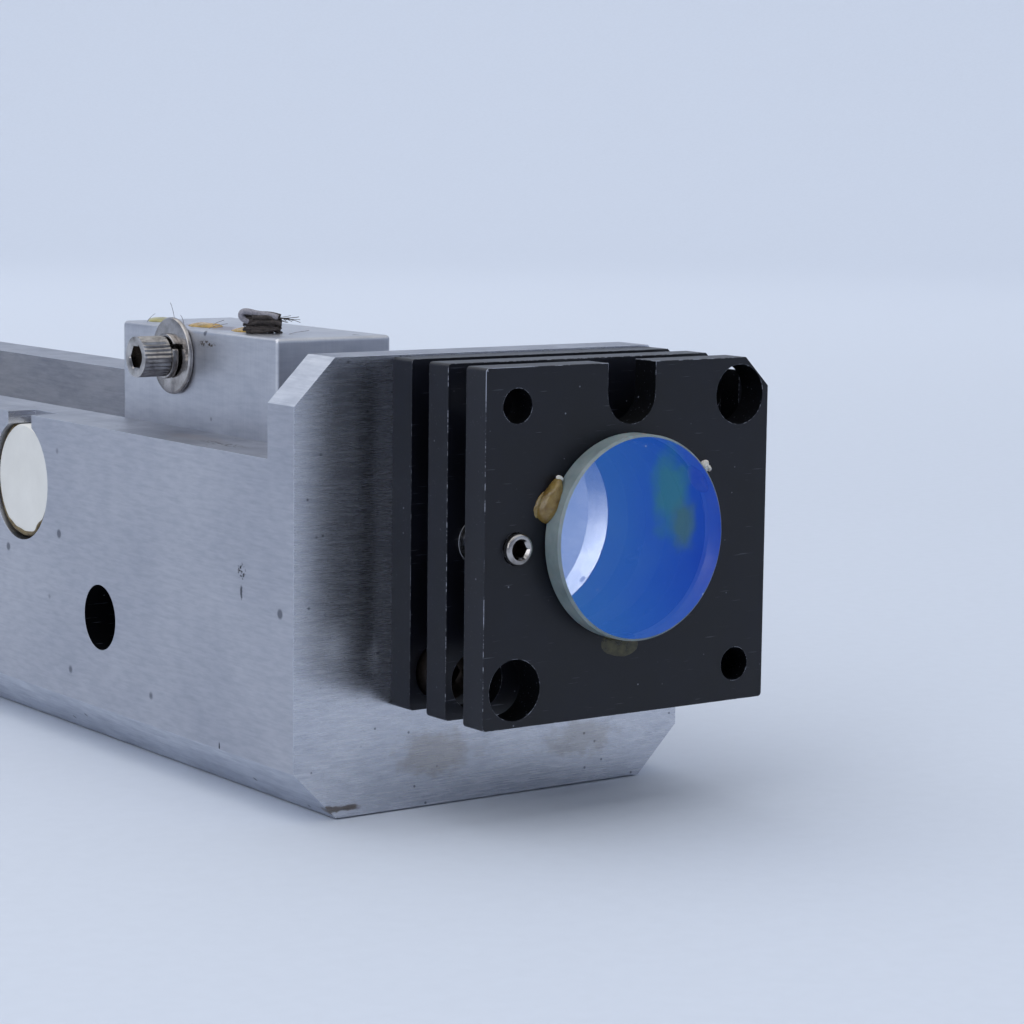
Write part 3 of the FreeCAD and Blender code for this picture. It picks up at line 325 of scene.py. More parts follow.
sideMarks = [
    {"at": (-30, -97.6, 29.9), "reach": (9, 2.0, 1.9), "ragged": 0.4, "full": 1.0, "speck": 0.6,
     "colour": "#16171c"},
    {"at": (-30, -97.5, 27.2), "reach": (9, 0.6, 1.9), "ragged": 0.5, "full": 0.9, "colour": "#42454e"},
    {"at": (-30, -92.0, 6.7), "reach": (9, 0.35, 1.0), "ragged": 0.6, "colour": "#3b3e48"},
    {"at": (-29.2, -105.2, 5.2), "reach": (9, 0.6, 0.45), "ragged": 0.6, "colour": "#17181d"},
    {"at": (-29.5, -108.9, 5.9), "reach": (9, 1.6, 0.9), "ragged": 0.3, "speck": 0.3, "colour": "#f4f6f9"},
]
baseMarks = [
    {"at": (-27, -107, 1.2), "reach": (3.4, 5.5, 1.6), "ragged": 1.6, "full": 0.75, "colour": "#5a4c3a"},
    {"at": (-25, -110, 1.0), "reach": (4.5, 3.0, 1.1), "ragged": 1.4, "full": 0.7, "colour": "#6b5a45"},
]
endMarks = [
    {"at": (-9, -110, 6.5), "reach": (13, 9, 6), "ragged": 2.5, "full": 0.35, "colour": "#8b7c66"},
    {"at": (-24, -110, 1.2), "reach": (9, 9, 0.9), "ragged": 1.2, "full": 0.8, "colour": "#594b3b"},
    {"at": (14, -110, 6.0), "reach": (12, 9, 5), "ragged": 2.0, "full": 0.3, "colour": "#857862"},
]
topMarks = [
    {"at": (-25, -77, 44.6), "reach": (4.0, 16, 2), "ragged": 2.0, "full": 0.5, "colour": "#a29c9f"},
    {"at": (-26, -86, 44.6), "reach": (3.0, 14, 2), "ragged": 0.5, "speck": 0.5, "full": 0.9,
     "colour": "#3a3630"},
]
blockMarks = [
    {"at": (-15.5, -66, 58.1), "reach": (5.0, 20, 0.9), "ragged": 2.2, "full": 0.8, "colour": "#857a80"},
    {"at": (-15.5, -76, 58.1), "reach": (3.6, 6, 0.9), "ragged": 1.0, "full": 0.95, "colour": "#5d5258"},
    {"at": (-20, -71.5, 56.3), "reach": (0.9, 5.0, 1.0), "ragged": 0.5, "speck": 0.4, "colour": "#54483f"},
    {"at": (-6.4, -86.8, 58.1), "reach": (1.1, 0.8, 0.9), "ragged": 0.5, "colour": "#39343a"},
    {"at": (-20, -72, 14), "reach": (0.8, 30, 6), "ragged": 6.0, "full": 0.35, "colour": "#6f7480"},
]
cornerWear = [
    {"at": (-15.8, -130, 55.5), "reach": (1.6, 3, 6.5), "ragged": 0.9, "colour": "#b9bcc6"},
    {"at": (-12.0, -130, 57.0), "reach": (7.5, 3, 1.0), "ragged": 1.0, "colour": "#b9bcc6"},
    {"at": (2.2, -130, 56.6), "reach": (1.3, 3, 1.3), "ragged": 0.8, "colour": "#b9bcc6"},
    {"at": (9.9, -130, 56.8), "reach": (1.0, 3, 0.9), "ragged": 0.8, "colour": "#b9bcc6"},
]
finish = {
    "side": aluminium("drawnAluminium", {
        "light": "#c5c6cc", "dark": "#b6b8bf", "sweep": "#e2e4e9", "along": "Y", "tilt": (0, 0, 0),
        "line": 0.3, "cloud": 18, "pit": 9.0, "rough": 0.4, "bump": 0.06}, sideMarks + baseMarks),
    "end": aluminium("milledEndAluminium", {
        "light": "#dedfe4", "dark": "#cdcfd6", "sweep": "#dcdee4", "along": "X", "tilt": (0, 0.42, 0),
        "line": 0.25, "cloud": 14, "pit": 2.6, "rough": 0.26, "bump": 0.05}, endMarks),
    "edge": aluminium("freshCutAluminium", {
        "light": "#dcdfe5", "dark": "#c2c6cf", "sweep": "#d2d5dc", "along": "Y", "tilt": (0, 0, 0),
        "line": 0.4, "cloud": 10, "pit": 5.0, "rough": 0.43, "bump": 0.08}, baseMarks),
    "top": aluminium("milledTopAluminium", {
        "light": "#b9bbc2", "dark": "#999ca6", "sweep": "#c3c6cf", "along": "Y", "tilt": (0, 0, 0),
        "line": 0.5, "cloud": 9, "pit": 3.0, "rough": 0.42, "bump": 0.15}, topMarks),
    # painted light: a less metallic, more diffuse copy of the milled aluminium, so the shaded channel walls
    # show lighter
    "channel": aluminium("milledChannelPaintedLight", {
        "light": "#b9bcc6", "dark": "#a3a7b2", "sweep": "#d3d6de", "along": "Y", "tilt": (0, 0, 0),
        "line": 0.4, "cloud": 16, "pit": 8.0, "rough": 0.5, "bump": 0.06, "metal": 0.3}),
    # painted light: a lighter copy of the aluminium for the end plate's bore wall, so the wall seen through
    # the optic shows bright
    "bored": aluminium("boredAluminiumPaintedLight", {
        "light": "#e1e4ea", "dark": "#c9cdd6", "sweep": "#dde0e6", "along": "Z", "tilt": (0, 0, 0),
        "line": 0.4, "cloud": 12, "pit": 8.0, "rough": 0.5, "bump": 0.08}),
    "block": aluminium("blockAluminium", {
        "light": "#cccdd2", "dark": "#c0c2c8", "sweep": "#e2e4e9", "along": "Z", "tilt": (0, 0, 0),
        "line": 0.35, "cloud": 11, "pit": 6.0, "rough": 0.38, "bump": 0.04}, blockMarks),
    "black": blackAnodised("blackAnodised", {
        "light": "#0b0d18", "dark": "#06070e", "dust": 1.9, "rough": 0.38, "wear": 0}),
    # partly painted light: real wear at the plate corners, and a lighter tone with heavier wear on every
    # bevel standing in for edge sheen
    "blackWornAndSheen": blackAnodised("blackAnodisedWornEdgeAndSheen", {
        "light": "#161822", "dark": "#0c0e15", "dust": 1.2, "rough": 0.4, "wear": 0.5}, cornerWear),
    # painted shade: a darker, duller copy of the black anodising for the plates' bores, also put on the
    # aluminium wire hole's walls
    "hole": blackAnodised("blackBorePaintedShade", {
        "light": "#08090d", "dark": "#040507", "dust": 2.4, "rough": 0.8, "ior": 1.12, "wear": 0}),
    "screw": polishedSteel("nickelPlatedSteel", "#b3afad", "#726e6c", 0.18),
    "bright": polishedSteel("polishedScrewSteel", "#b9b6b4", "#6d6967", 0.13),
    # black oxide steel for the rear plate screws, also used as painted shade on hex socket floors
    "darkScrewAndSocketShade": polishedSteel("blackOxideSteelAndSocketShade", "#4d4540", "#2f2a28", 0.35),
    "ball": polishedSteel("hardenedSteel", "#77787c", "#55565a", 0.15),
    "wire": polishedSteel("springWire", "#5d5e62", "#404145", 0.3),
    "epoxy": castPlastic("amberEpoxy", "#94804c", "#5b431b", 0.25, 1.8, 0.15, 0.5),
    "paleEpoxy": castPlastic("thinEpoxyFilm", "#565236", "#2b2a1c", 0.35, 1.2, 0.1, 0.1, 0.8),
    "glue": castPlastic("yellowGlue", "#b8923a", "#836a22", 0.22, 1.6, 0.15, 0.45),
    "paleGlue": castPlastic("paleOliveGlue", "#a9a268", "#7d7a4e", 0.3, 1.6, 0.15, 0.4),
    "brownGlue": castPlastic("agedBrownGlue", "#7b6a44", "#3d3017", 0.5, 0.6, 0.4),
    "crumb": castPlastic("whiteCrumb", "#e9e7e2", "#b9b5a8", 0.6, 0.3, 0.5, 0.3),
    "ceramic": castPlastic("whiteCeramic", "#dcdbd6", "#d2d1cc", 0.42, 6.0, 0.04),
    "acetal": castPlastic("blackAcetal", "#202226", "#16181b", 0.4, 1.0, 0.1),
    "insulator": castPlastic("whiteInsulator", "#e4e2da", "#d6d3c8", 0.35, 1.0, 0.05),
    "piezo": castPlastic("silveredPiezo", "#a39c8a", "#7d7768", 0.4, 0.7),
    "board": castPlastic("greenLaminate", "#1f6b3c", "#15502c", 0.35, 1.0, 0.05),
    "fibre": castPlastic("singedFibre", "#4b4341", "#1d1918", 0.75, 0.3, 0.4),
    "paleFibre": castPlastic("greyFibre", "#9a98a0", "#6b6870", 0.7, 0.3, 0.4),
    "socket": polishedSteel("nickelPlatedBrass", "#d3cdbd", "#a49c88", 0.18),
    "gold": polishedSteel("goldPlatedContact", "#d9b65c", "#b08f3f", 0.2),
    "coating": interferenceFilm(),
    "glassEdge": groundGlass(),
    "glassBack": clearGlass("uncoatedGlass", "#cfdcdf", 0.1),
    "clear": clearGlass("clearGlass", "#cfe0e4", 0.3),
}
print("materials made", len(finish))


# helpers for pieces

def givePiece(shape, name, materials, node, smoothAngle):
    mesh = bpy.data.meshes.new(name)
    shape.to_mesh(mesh)
    shape.free()
    piece = bpy.data.objects.new(name, mesh)
    scene.collection.objects.link(piece)
    for key in materials:
        mesh.materials.append(finish[key])
    mesh.shade_smooth()
    mesh.set_sharp_from_angle(angle=math.radians(smoothAngle))
    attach(piece, bodyOf[node])
    return piece


def cadCopy(node):
    # the CAD node's solid as one welded shape with large flat faces
    shape = bmesh.new()
    shape.from_mesh(nodes[node].data)
    bmesh.ops.remove_doubles(shape, verts=shape.verts, dist=cadWeld)
    bmesh.ops.dissolve_limit(shape, angle_limit=math.radians(1.0), verts=shape.verts, edges=shape.edges)
    return shape


def facesOf(verts):
    return {f for v in verts for f in v.link_faces}


def bevelEdges(shape, width, steepest, segments=2):
    sharp = [e for e in shape.edges
             if len(e.link_faces) == 2 and e.calc_face_angle(0) > math.radians(steepest)]
    made = bmesh.ops.bevel(shape, geom=sharp, offset=width * mm, offset_type="OFFSET", affect="EDGES",
                           segments=segments, profile=0.5, material=-1, clamp_overlap=True)
    return made["faces"]


def islandsOf(node):
    # lowest and highest corner of each separate solid in a node
    shape = bmesh.new()
    shape.from_mesh(nodes[node].data)
    bmesh.ops.remove_doubles(shape, verts=shape.verts, dist=cadWeld)
    unseen = set(shape.verts)
    boxes = []
    while unseen:
        front = [unseen.pop()]
        found = list(front)
        while front:
            for edge in front.pop().link_edges:
                for vert in edge.verts:
                    if vert in unseen:
                        unseen.discard(vert)
                        front.append(vert)
                        found.append(vert)
        boxes.append((Vector([min(v.co[i] for v in found) for i in range(3)]),
                      Vector([max(v.co[i] for v in found) for i in range(3)])))
    shape.free()
    return sorted(boxes, key=lambda pair: (round(pair[0].x, 5), round(pair[0].y, 5), round(pair[0].z, 5)))


def lathe(shape, profile, steps, place, material=0):
    # turns a profile of (radius, height) points in mm round local Z, then places it; open ends stay open
    before = set(shape.verts)
    points = [shape.verts.new((r * mm, 0, h * mm)) for r, h in profile]
    edges = [shape.edges.new(pair) for pair in zip(points, points[1:])]
    bmesh.ops.spin(shape, geom=points + edges, cent=(0, 0, 0), axis=(0, 0, 1), angle=2 * math.pi, steps=steps,
                   use_merge=True)
    made = [v for v in shape.verts if v not in before]
    bmesh.ops.remove_doubles(shape, verts=made, dist=fineWeld)
    made = [v for v in shape.verts if v not in before]
    faces = facesOf(made)
    for face in faces:
        face.material_index = material
    bmesh.ops.recalc_face_normals(shape, faces=list(faces))
    bmesh.ops.transform(shape, matrix=place, verts=made)
    return made


def facing(direction, place):
    # local +Z turned to a direction, standing at a place
    return Matrix.Translation(place) @ Vector(direction).to_track_quat("Z", "Y").to_matrix().to_4x4()


def hexRecess(shape, face, halfAcross, brim, bottom):
    # sinks a hexagon into a flat face round local Z, from height brim to height bottom in mm
    bmesh.ops.inset_region(shape, faces=[face], thickness=insetStep * mm, depth=0)
    for vert in face.verts:
        turn = math.atan2(vert.co.y, vert.co.x) % (math.pi / 3) - math.pi / 6
        vert.co = Vector((*(vert.co.xy.normalized() * halfAcross / math.cos(turn) * mm), brim * mm))
    walls = bmesh.ops.extrude_face_region(shape, geom=[face])["geom"]
    floor = [f for f in walls if isinstance(f, bmesh.types.BMFace)][0]
    if face.is_valid:
        bmesh.ops.delete(shape, geom=[face], context="FACES_ONLY")
    for vert in floor.verts:
        vert.co.z = bottom * mm
    return floor


def capScrewShape(shape, place, look):
    # socket cap screw, head's underside at the local origin: knurled head, rounded rim, hexagon, shank
    radius, high, ridges = look["head"], look["headHeight"], look["ridges"]
    made = bmesh.ops.create_cone(shape, cap_ends=True, segments=ridges * 2, radius1=radius * mm,
                                 radius2=radius * mm, depth=high * mm,
                                 matrix=Matrix.Translation((0, 0, high / 2 * mm)))["verts"]
    sides = [f for f in facesOf(made) if abs(f.normal.z) < 0.5]
    for cutAt in look["knurl"]:
        faces = list(facesOf(made))
        edges = list({e for f in faces for e in f.edges})
        ring = bmesh.ops.bisect_plane(shape, geom=made + edges + faces, plane_co=(0, 0, cutAt * mm),
                                      plane_no=(0, 0, 1))["geom_cut"]
        made += [v for v in ring if isinstance(v, bmesh.types.BMVert)]
    for vert in made:
        turn = math.atan2(vert.co.y, vert.co.x) / math.pi * ridges
        grooved = look["knurl"][0] - 0.01 < vert.co.z / mm < look["knurl"][-1] + 0.01
        deep = look["ridge"] if round(turn) % 2 and grooved else 0.0
        flat = Vector((vert.co.x, vert.co.y, 0))
        if flat.length > 0:
            vert.co -= flat.normalized() * deep * mm
    top = max((f for v in made for f in v.link_faces),
              key=lambda f: f.normal.z * 1000 + f.calc_center_median().z)
    bmesh.ops.inset_region(shape, faces=[top], thickness=look["rim"] * 0.45 * mm, depth=0)
    for vert in top.verts:
        vert.co.z = high * mm
    outer = [v for v in made if v.is_valid and v.co.z > (high - 0.01) * mm and v not in top.verts]
    for vert in outer:
        vert.co.z -= look["rim"] * 0.7 * mm
    bmesh.ops.inset_region(shape, faces=[top], thickness=look["rim"] * 0.8 * mm, depth=0)
    flatRadius = look["hex"] / 2
    mouth = flatRadius * 2 / math.sqrt(3) + 0.12
    bmesh.ops.inset_region(shape, faces=[top], thickness=insetStep * mm, depth=0)
    for vert in top.verts:
        vert.co = Vector((*(vert.co.xy.normalized() * mouth * mm), high * mm))
    floor = hexRecess(shape, top, flatRadius, high - 0.15, high - look["deep"])
    # painted shade: the hexagon's floor takes the darker material named by the look's inner entry
    floor.material_index = look.get("inner", 0)
    head = list({v for f in sides if f.is_valid for v in f.verts} | set(made) | set(floor.verts))
    group, seen = list(head), set(head)
    while group:
        for edge in group.pop().link_edges:
            for vert in edge.verts:
                if vert not in seen:
                    seen.add(vert)
                    group.append(vert)
    if look["shank"]:
        shank = bmesh.ops.create_cone(shape, cap_ends=True, segments=24, radius1=look["shank"] * mm * 0.85,
                                      radius2=look["shank"] * mm, depth=look["long"] * mm,
                                      matrix=Matrix.Translation((0, 0, -look["long"] / 2 * mm)))["verts"]
        seen |= set(shank)
    bmesh.ops.transform(shape, matrix=place, verts=list(seen))


def ragged(shape, verts, amount, size, seed):
    # pushes points about by smooth noise, amount and size in mm
    offset = Vector((seed * 7.3, seed * 3.1, seed * 5.7))
    for vert in verts:
        vert.co += noise.noise_vector(vert.co / (size * mm) + offset) * amount * mm


def strand(points, radius):
    # a short curved fibre as a tube, points and radius in mm
    curve = bpy.data.curves.new("strand", "CURVE")
    curve.dimensions = "3D"
    curve.bevel_depth = radius * mm
    curve.bevel_resolution = 2
    curve.use_fill_caps = True
    line = curve.splines.new("NURBS")
    line.points.add(len(points) - 1)
    for point, place in zip(line.points, points):
        point.co = (*(Vector(place) * mm), 1.0)
    line.order_u = min(4, len(points))
    line.use_endpoint_u = True
    holder = bpy.data.objects.new("strand", curve)
    mesh = bpy.data.meshes.new_from_object(holder)
    bpy.data.objects.remove(holder)
    shape = bmesh.new()
    shape.from_mesh(mesh)
    bpy.data.meshes.remove(mesh)
    return shape


def addShape(target, source, material):
    # copies one shape's faces into another under a material number
    mesh = bpy.data.meshes.new("carried")
    for face in source.faces:
        face.material_index = material
    source.to_mesh(mesh)
    source.free()
    target.from_mesh(mesh)
    bpy.data.meshes.remove(mesh)


# chassis

chassisLook = {"edgeWidth": 0.25, "boreReach": 14.0, "boreFrom": -103.0, "beam": (6.0, 35.25),
               "wireHole": (-59.7, 18.7), "wireReach": 5.0, "channelHalf": 20.5, "channelFrom": 12.0,
               "cutArea": 1e-5}
chassisFinish = ["side", "end", "edge", "top", "bored", "hole", "channel"]
coatOf = {key: i for i, key in enumerate(chassisFinish)}
shape = cadCopy("chassis")
for face in bevelEdges(shape, chassisLook["edgeWidth"], 25):
    face.material_index = coatOf["edge"]
for face in shape.faces:
    normal = face.normal
    middle = face.calc_center_median() / mm
    away = math.hypot(middle.x - chassisLook["beam"][0], middle.z - chassisLook["beam"][1])
    hole = math.hypot(middle.y - chassisLook["wireHole"][0], middle.z - chassisLook["wireHole"][1])
    # painted light: the end plate's bore wall takes the lighter bored copy
    if away < chassisLook["boreReach"] and abs(normal.y) < 0.1 and middle.y < chassisLook["boreFrom"]:
        face.material_index = coatOf["bored"]
    elif face.material_index == coatOf["edge"]:
        continue
    # painted shade: the chassis wire hole's aluminium walls take the dark bore material
    elif hole < chassisLook["wireReach"] and abs(normal.x) < 0.7:
        face.material_index = coatOf["hole"]
    elif abs(normal.y) > 0.95:
        face.material_index = coatOf["end"]
    elif (abs(normal.x) > 0.3 and abs(normal.z) > 0.3 and abs(normal.y) < 0.1
          and face.calc_area() > chassisLook["cutArea"]):
        face.material_index = coatOf["edge"]
    elif normal.z > 0.9:
        face.material_index = coatOf["top"]
    # painted light: the channel's side walls take the lighter, less metallic copy
    elif (abs(middle.x) < chassisLook["channelHalf"] and middle.z > chassisLook["channelFrom"]
          and abs(normal.x) > 0.9):
        face.material_index = coatOf["channel"]
chassis = givePiece(shape, "chassisShell", chassisFinish, "chassis", 14)
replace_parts(chassis, "chassis")
print("chassis made")

# gimbal plates

plateLook = {"edgeWidth": 0.16, "holeReach": 0.2}
for node in ("rear_plate", "pitch_plate", "yaw_plate"):
    shape = cadCopy(node)
    low, high = boxOf(node)
    # the bevels take the worn-edge copy: real wear and painted sheen
    for face in bevelEdges(shape, plateLook["edgeWidth"], 30):
        face.material_index = 1
    for face in shape.faces:
        middle = face.calc_center_median()
        inside = all(low[i] + plateLook["holeReach"] * mm < middle[i] < high[i] - plateLook["holeReach"] * mm
                     for i in (0, 2))
        # painted shade: the plates' bore walls take the darker, duller copy
        if inside and abs(face.normal.y) < 0.5:
            face.material_index = 2
    plate = givePiece(shape, node.replace("_p", "P") + "Shell", ["black", "blackWornAndSheen", "hole"], node, 14)
    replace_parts(plate, node)
print("plates made")

# front optic

low, high = boxOf("front_mirror")
middle = (low + high) / 2
opticLook = {"edge": 0.3, "radius": (high.x - low.x) / 2 / mm, "thick": (high.y - low.y) / mm}
shape = bmesh.new()
rim = opticLook["radius"] - opticLook["edge"]
profile = [(0, 0), (rim, 0), (opticLook["radius"], opticLook["edge"]),
           (opticLook["radius"], opticLook["thick"] - opticLook["edge"]), (rim, opticLook["thick"]),
           (0, opticLook["thick"])]
lathe(shape, profile, 128, facing((0, -1, 0), (middle.x, high.y, middle.z)))
for face in shape.faces:
    if face.normal.y < -0.95:
        face.material_index = 0
    elif face.normal.y > 0.95:
        face.material_index = 2
    else:
        face.material_index = 1
optic = givePiece(shape, "frontOptic", ["coating", "glassEdge", "glassBack"], "front_mirror", 30)
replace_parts(optic, "front_mirror")

# adhesive dabs round the optic: a blob pressed into the corner between the rim and the plate
plateFace = boxOf("yaw_plate")[0].y / mm
opticPlace = middle / mm
dabs = [
    {"turn": 157, "out": 0.1, "size": (1.5, 2.9, 1.5), "uneven": 0.4, "material": 0, "seed": 3},
    {"turn": 162, "out": 1.2, "size": (1.3, 1.9, 0.35), "uneven": 0.4, "material": 0, "seed": 11},
    {"turn": 31, "out": 0.1, "size": (0.9, 2.2, 1.8), "uneven": 0.4, "material": 0, "seed": 5},
    {"turn": 266, "out": 0.9, "size": (1.5, 3.0, 0.1), "uneven": 0.05, "material": 2, "seed": 7},
    {"turn": 266, "out": -0.1, "size": (0.5, 2.4, 0.7), "uneven": 0.2, "material": 2, "seed": 9},
    {"turn": 37, "out": 0.5, "size": (0.55, 0.75, 0.6), "uneven": 0.7, "material": 1, "seed": 13, "up": 1.5},
    {"turn": 34.5, "out": 1.1, "size": (0.35, 0.5, 0.4), "uneven": 0.6, "material": 1, "seed": 17, "up": 1.2},
    {"turn": 145, "out": 0.7, "size": (0.5, 0.35, 0.3), "uneven": 0.3, "material": 1, "seed": 23, "up": 0.9},
]
shape = bmesh.new()
for dab in dabs:
    turn = math.radians(dab["turn"])
    reach = opticLook["radius"] + dab["out"]
    place = Vector((opticPlace.x + reach * math.cos(turn), plateFace - dab.get("up", 0.0),
                    opticPlace.z + reach * math.sin(turn))) * mm
    frameOf = Matrix.Translation(place) @ Matrix.Rotation(-turn, 4, "Y")
    sized = frameOf @ Matrix.Diagonal((dab["size"][0] * mm, dab["size"][2] * mm, dab["size"][1] * mm, 1))
    made = bmesh.ops.create_icosphere(shape, subdivisions=5, radius=1.0, matrix=sized)["verts"]
    ragged(shape, made, dab["uneven"] * 2 * min(1.0, dab["size"][0]), 2.6, dab["seed"])
    ragged(shape, made, dab["uneven"] * 0.12, 0.4, dab["seed"])
    for vert in made:
        vert.co.y = min(vert.co.y, (plateFace + 0.02) * mm)
    for face in facesOf(made):
        face.material_index = dab["material"]
adhesive = givePiece(shape, "opticAdhesive", ["epoxy", "crumb", "paleEpoxy"], "mirror_adhesive", 60)
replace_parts(adhesive, "mirror_adhesive")
print("optic made")

# clamp block's hardware

blockScrewLook = {"head": 2.75, "headHeight": 4.0, "ridges": 30, "ridge": 0.2, "knurl": (1.0, 3.1),
                  "rim": 0.65, "hex": 2.9, "deep": 1.9, "shank": 1.45, "long": 10.0, "inner": 1,
                  "stack": 1.25}
screwAt = centreOf("block_screw")
underHead = Vector((boxOf("flat_washer")[0].x - blockScrewLook["stack"] * mm, screwAt.y, screwAt.z))
shape = bmesh.new()
capScrewShape(shape, facing((-1, 0, 0), underHead), blockScrewLook)
holder = givePiece(shape, "blockScrewBody", ["bright", "darkScrewAndSocketShade"], "block_screw", 28)
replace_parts(holder, "block_screw")

low, high = boxOf("flat_washer")
washerLook = {"outer": (high.z - low.z) / 2 / mm, "inner": 1.6, "thick": (high.x - low.x) / mm, "round": 0.28}
edge, thick, outer = washerLook["round"], washerLook["thick"], washerLook["outer"]
shape = bmesh.new()
profile = [(washerLook["inner"], 0.0), (outer - edge, 0.0), (outer - edge * 0.3, edge * 0.3), (outer, edge),
           (outer, thick - edge), (outer - edge * 0.3, thick - edge * 0.3), (outer - edge, thick),
           (washerLook["inner"], thick), (washerLook["inner"], 0.0)]
middle = centreOf("flat_washer")
lathe(shape, profile, 96, facing((-1, 0, 0), (high.x, middle.y, middle.z)))
washer = givePiece(shape, "flatWasherBody", ["screw"], "flat_washer", 50)
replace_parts(washer, "flat_washer")

low, high = boxOf("spring_washer")
splitLook = {"outer": 3.05, "inner": 1.6, "gap": 14.0, "rise": 0.4, "thick": blockScrewLook["stack"],
             "at": 36.0, "steps": 60, "edgeWidth": 0.1}
shape = bmesh.new()
halfThick = (splitLook["thick"] - splitLook["rise"]) / 2
corners = [shape.verts.new((r * mm, 0, h * mm)) for r, h in
           ((splitLook["inner"], 0), (splitLook["outer"], 0), (splitLook["outer"], 2 * halfThick),
            (splitLook["inner"], 2 * halfThick))]
end = shape.faces.new(corners)
bmesh.ops.spin(shape, geom=[end, *end.edges, *corners], cent=(0, 0, 0), axis=(0, 0, 1),
               angle=math.radians(360 - splitLook["gap"]),
               dvec=(0, 0, splitLook["rise"] * mm / splitLook["steps"]), steps=splitLook["steps"])
bmesh.ops.recalc_face_normals(shape, faces=shape.faces)
bevelEdges(shape, splitLook["edgeWidth"], 60)
middle = centreOf("spring_washer")
place = facing((-1, 0, 0), (high.x, middle.y, middle.z))
place = place @ Matrix.Rotation(math.radians(splitLook["at"]), 4, "Z")
bmesh.ops.transform(shape, matrix=place, verts=shape.verts)
washer = givePiece(shape, "springWasherBody", ["screw"], "spring_washer", 40)
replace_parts(washer, "spring_washer")
print("block hardware made")

# other cap screws, each at its own solid's place

fourLook = {"head": 3.5, "headHeight": 4.0, "ridges": 32, "ridge": 0.1, "knurl": (0.5, 3.1), "rim": 0.5,
            "hex": 3.0, "deep": 2.2, "shank": 1.95}
capLooks = {
    "rear_plate_screws": {**fourLook, "long": 7.5, "way": (0, -1, 0)},
    "block_bolts": {**fourLook, "long": 16.0, "way": (0, 0, -1)},
    "sampler_bolt": {**fourLook, "long": 12.0, "way": (0, 0, -1)},
    "cell_screws": {"head": 2.2, "headHeight": 2.5, "ridges": 26, "ridge": 0.08, "knurl": (0.4, 1.9),
                    "rim": 0.35, "hex": 2.0, "deep": 1.3, "shank": 1.2, "long": 8.0, "way": (0, -1, 0)},
    "case_screws": {"head": 2.75, "headHeight": 3.0, "ridges": 30, "ridge": 0.1, "knurl": (0.5, 2.3),
                    "rim": 0.45, "hex": 2.5, "deep": 1.6, "shank": 1.45, "long": 20.0, "way": (0, 1, 0)},
}
setNames = {"rear_plate_screws": "rearPlateScrewSet", "block_bolts": "blockBoltSet",
            "sampler_bolt": "samplerBoltSet", "cell_screws": "cellScrewSet", "case_screws": "housingScrewSet"}
for node, look in capLooks.items():
    shape = bmesh.new()
    way = Vector(look["way"])
    for low, high in islandsOf(node):
        tip = Vector([high[i] if way[i] > 0 else low[i] if way[i] < 0 else (low[i] + high[i]) / 2
                      for i in range(3)])
        capScrewShape(shape, facing(way, tip - way * look["headHeight"] * mm), look)
    material = "darkScrewAndSocketShade" if node == "rear_plate_screws" else "screw"
    screws = givePiece(shape, setNames[node], [material], node, 28)
    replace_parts(screws, node)
print("cap screws made")

# adjuster set screws

setLook = {"radius": 1.95, "round": 0.45, "hex": 2.0, "cone": 1.32, "coneDeep": 0.35, "deep": 2.4,
           "long": 7.0, "tipFrom": 0.8, "arc": 5}
for node in ("yaw_screw", "pitch_screw"):
    low, high = boxOf(node)
    middle = (low + high) / 2
    shape = bmesh.new()
    radius, bend = setLook["radius"], setLook["round"]
    profile = [(radius * 0.6, -setLook["long"]), (radius, -setLook["long"] + setLook["tipFrom"]),
               (radius, -bend)]
    profile += [(radius - bend + bend * math.cos(a), -bend + bend * math.sin(a))
                for a in (math.pi / 2 * k / setLook["arc"] for k in range(1, setLook["arc"] + 1))]
    profile += [(setLook["cone"], 0.0)]
    made = lathe(shape, profile, 48, Matrix.Identity(4))
    rims = [e for e in shape.edges if e.is_boundary and all(abs(v.co.z) < 0.001 * mm for v in e.verts)]
    mouth = bmesh.ops.edgeloop_fill(shape, edges=rims)["faces"][0]
    hexRecess(shape, mouth, setLook["hex"] / 2, -setLook["coneDeep"], -setLook["deep"])
    backs = [e for e in shape.edges if e.is_boundary]
    bmesh.ops.edgeloop_fill(shape, edges=backs)
    # painted shade: the socket's lower walls and floor take the darker steel
    for face in shape.faces:
        if face.calc_center_median().z < -(setLook["coneDeep"] + 0.2) * mm and \
                face.calc_center_median().xy.length < radius * 0.7 * mm:
            face.material_index = 1
    bmesh.ops.recalc_face_normals(shape, faces=shape.faces)
    bmesh.ops.transform(shape, matrix=facing((0, -1, 0), (middle.x, low.y, middle.z)), verts=shape.verts)
    screw = givePiece(shape, node.replace("_s", "S") + "Body", ["bright", "darkScrewAndSocketShade"], node, 28)
    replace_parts(screw, node)
print("set screws made")

# springs: closed coils with a hook over a pin at each end

springLook = {"wire": 0.25, "coil": 1.6, "hook": 1.15, "pitch": 0.56, "ring": 12, "stepsPerTurn": 20,
              "hookSteps": 32, "gap": 0.3}


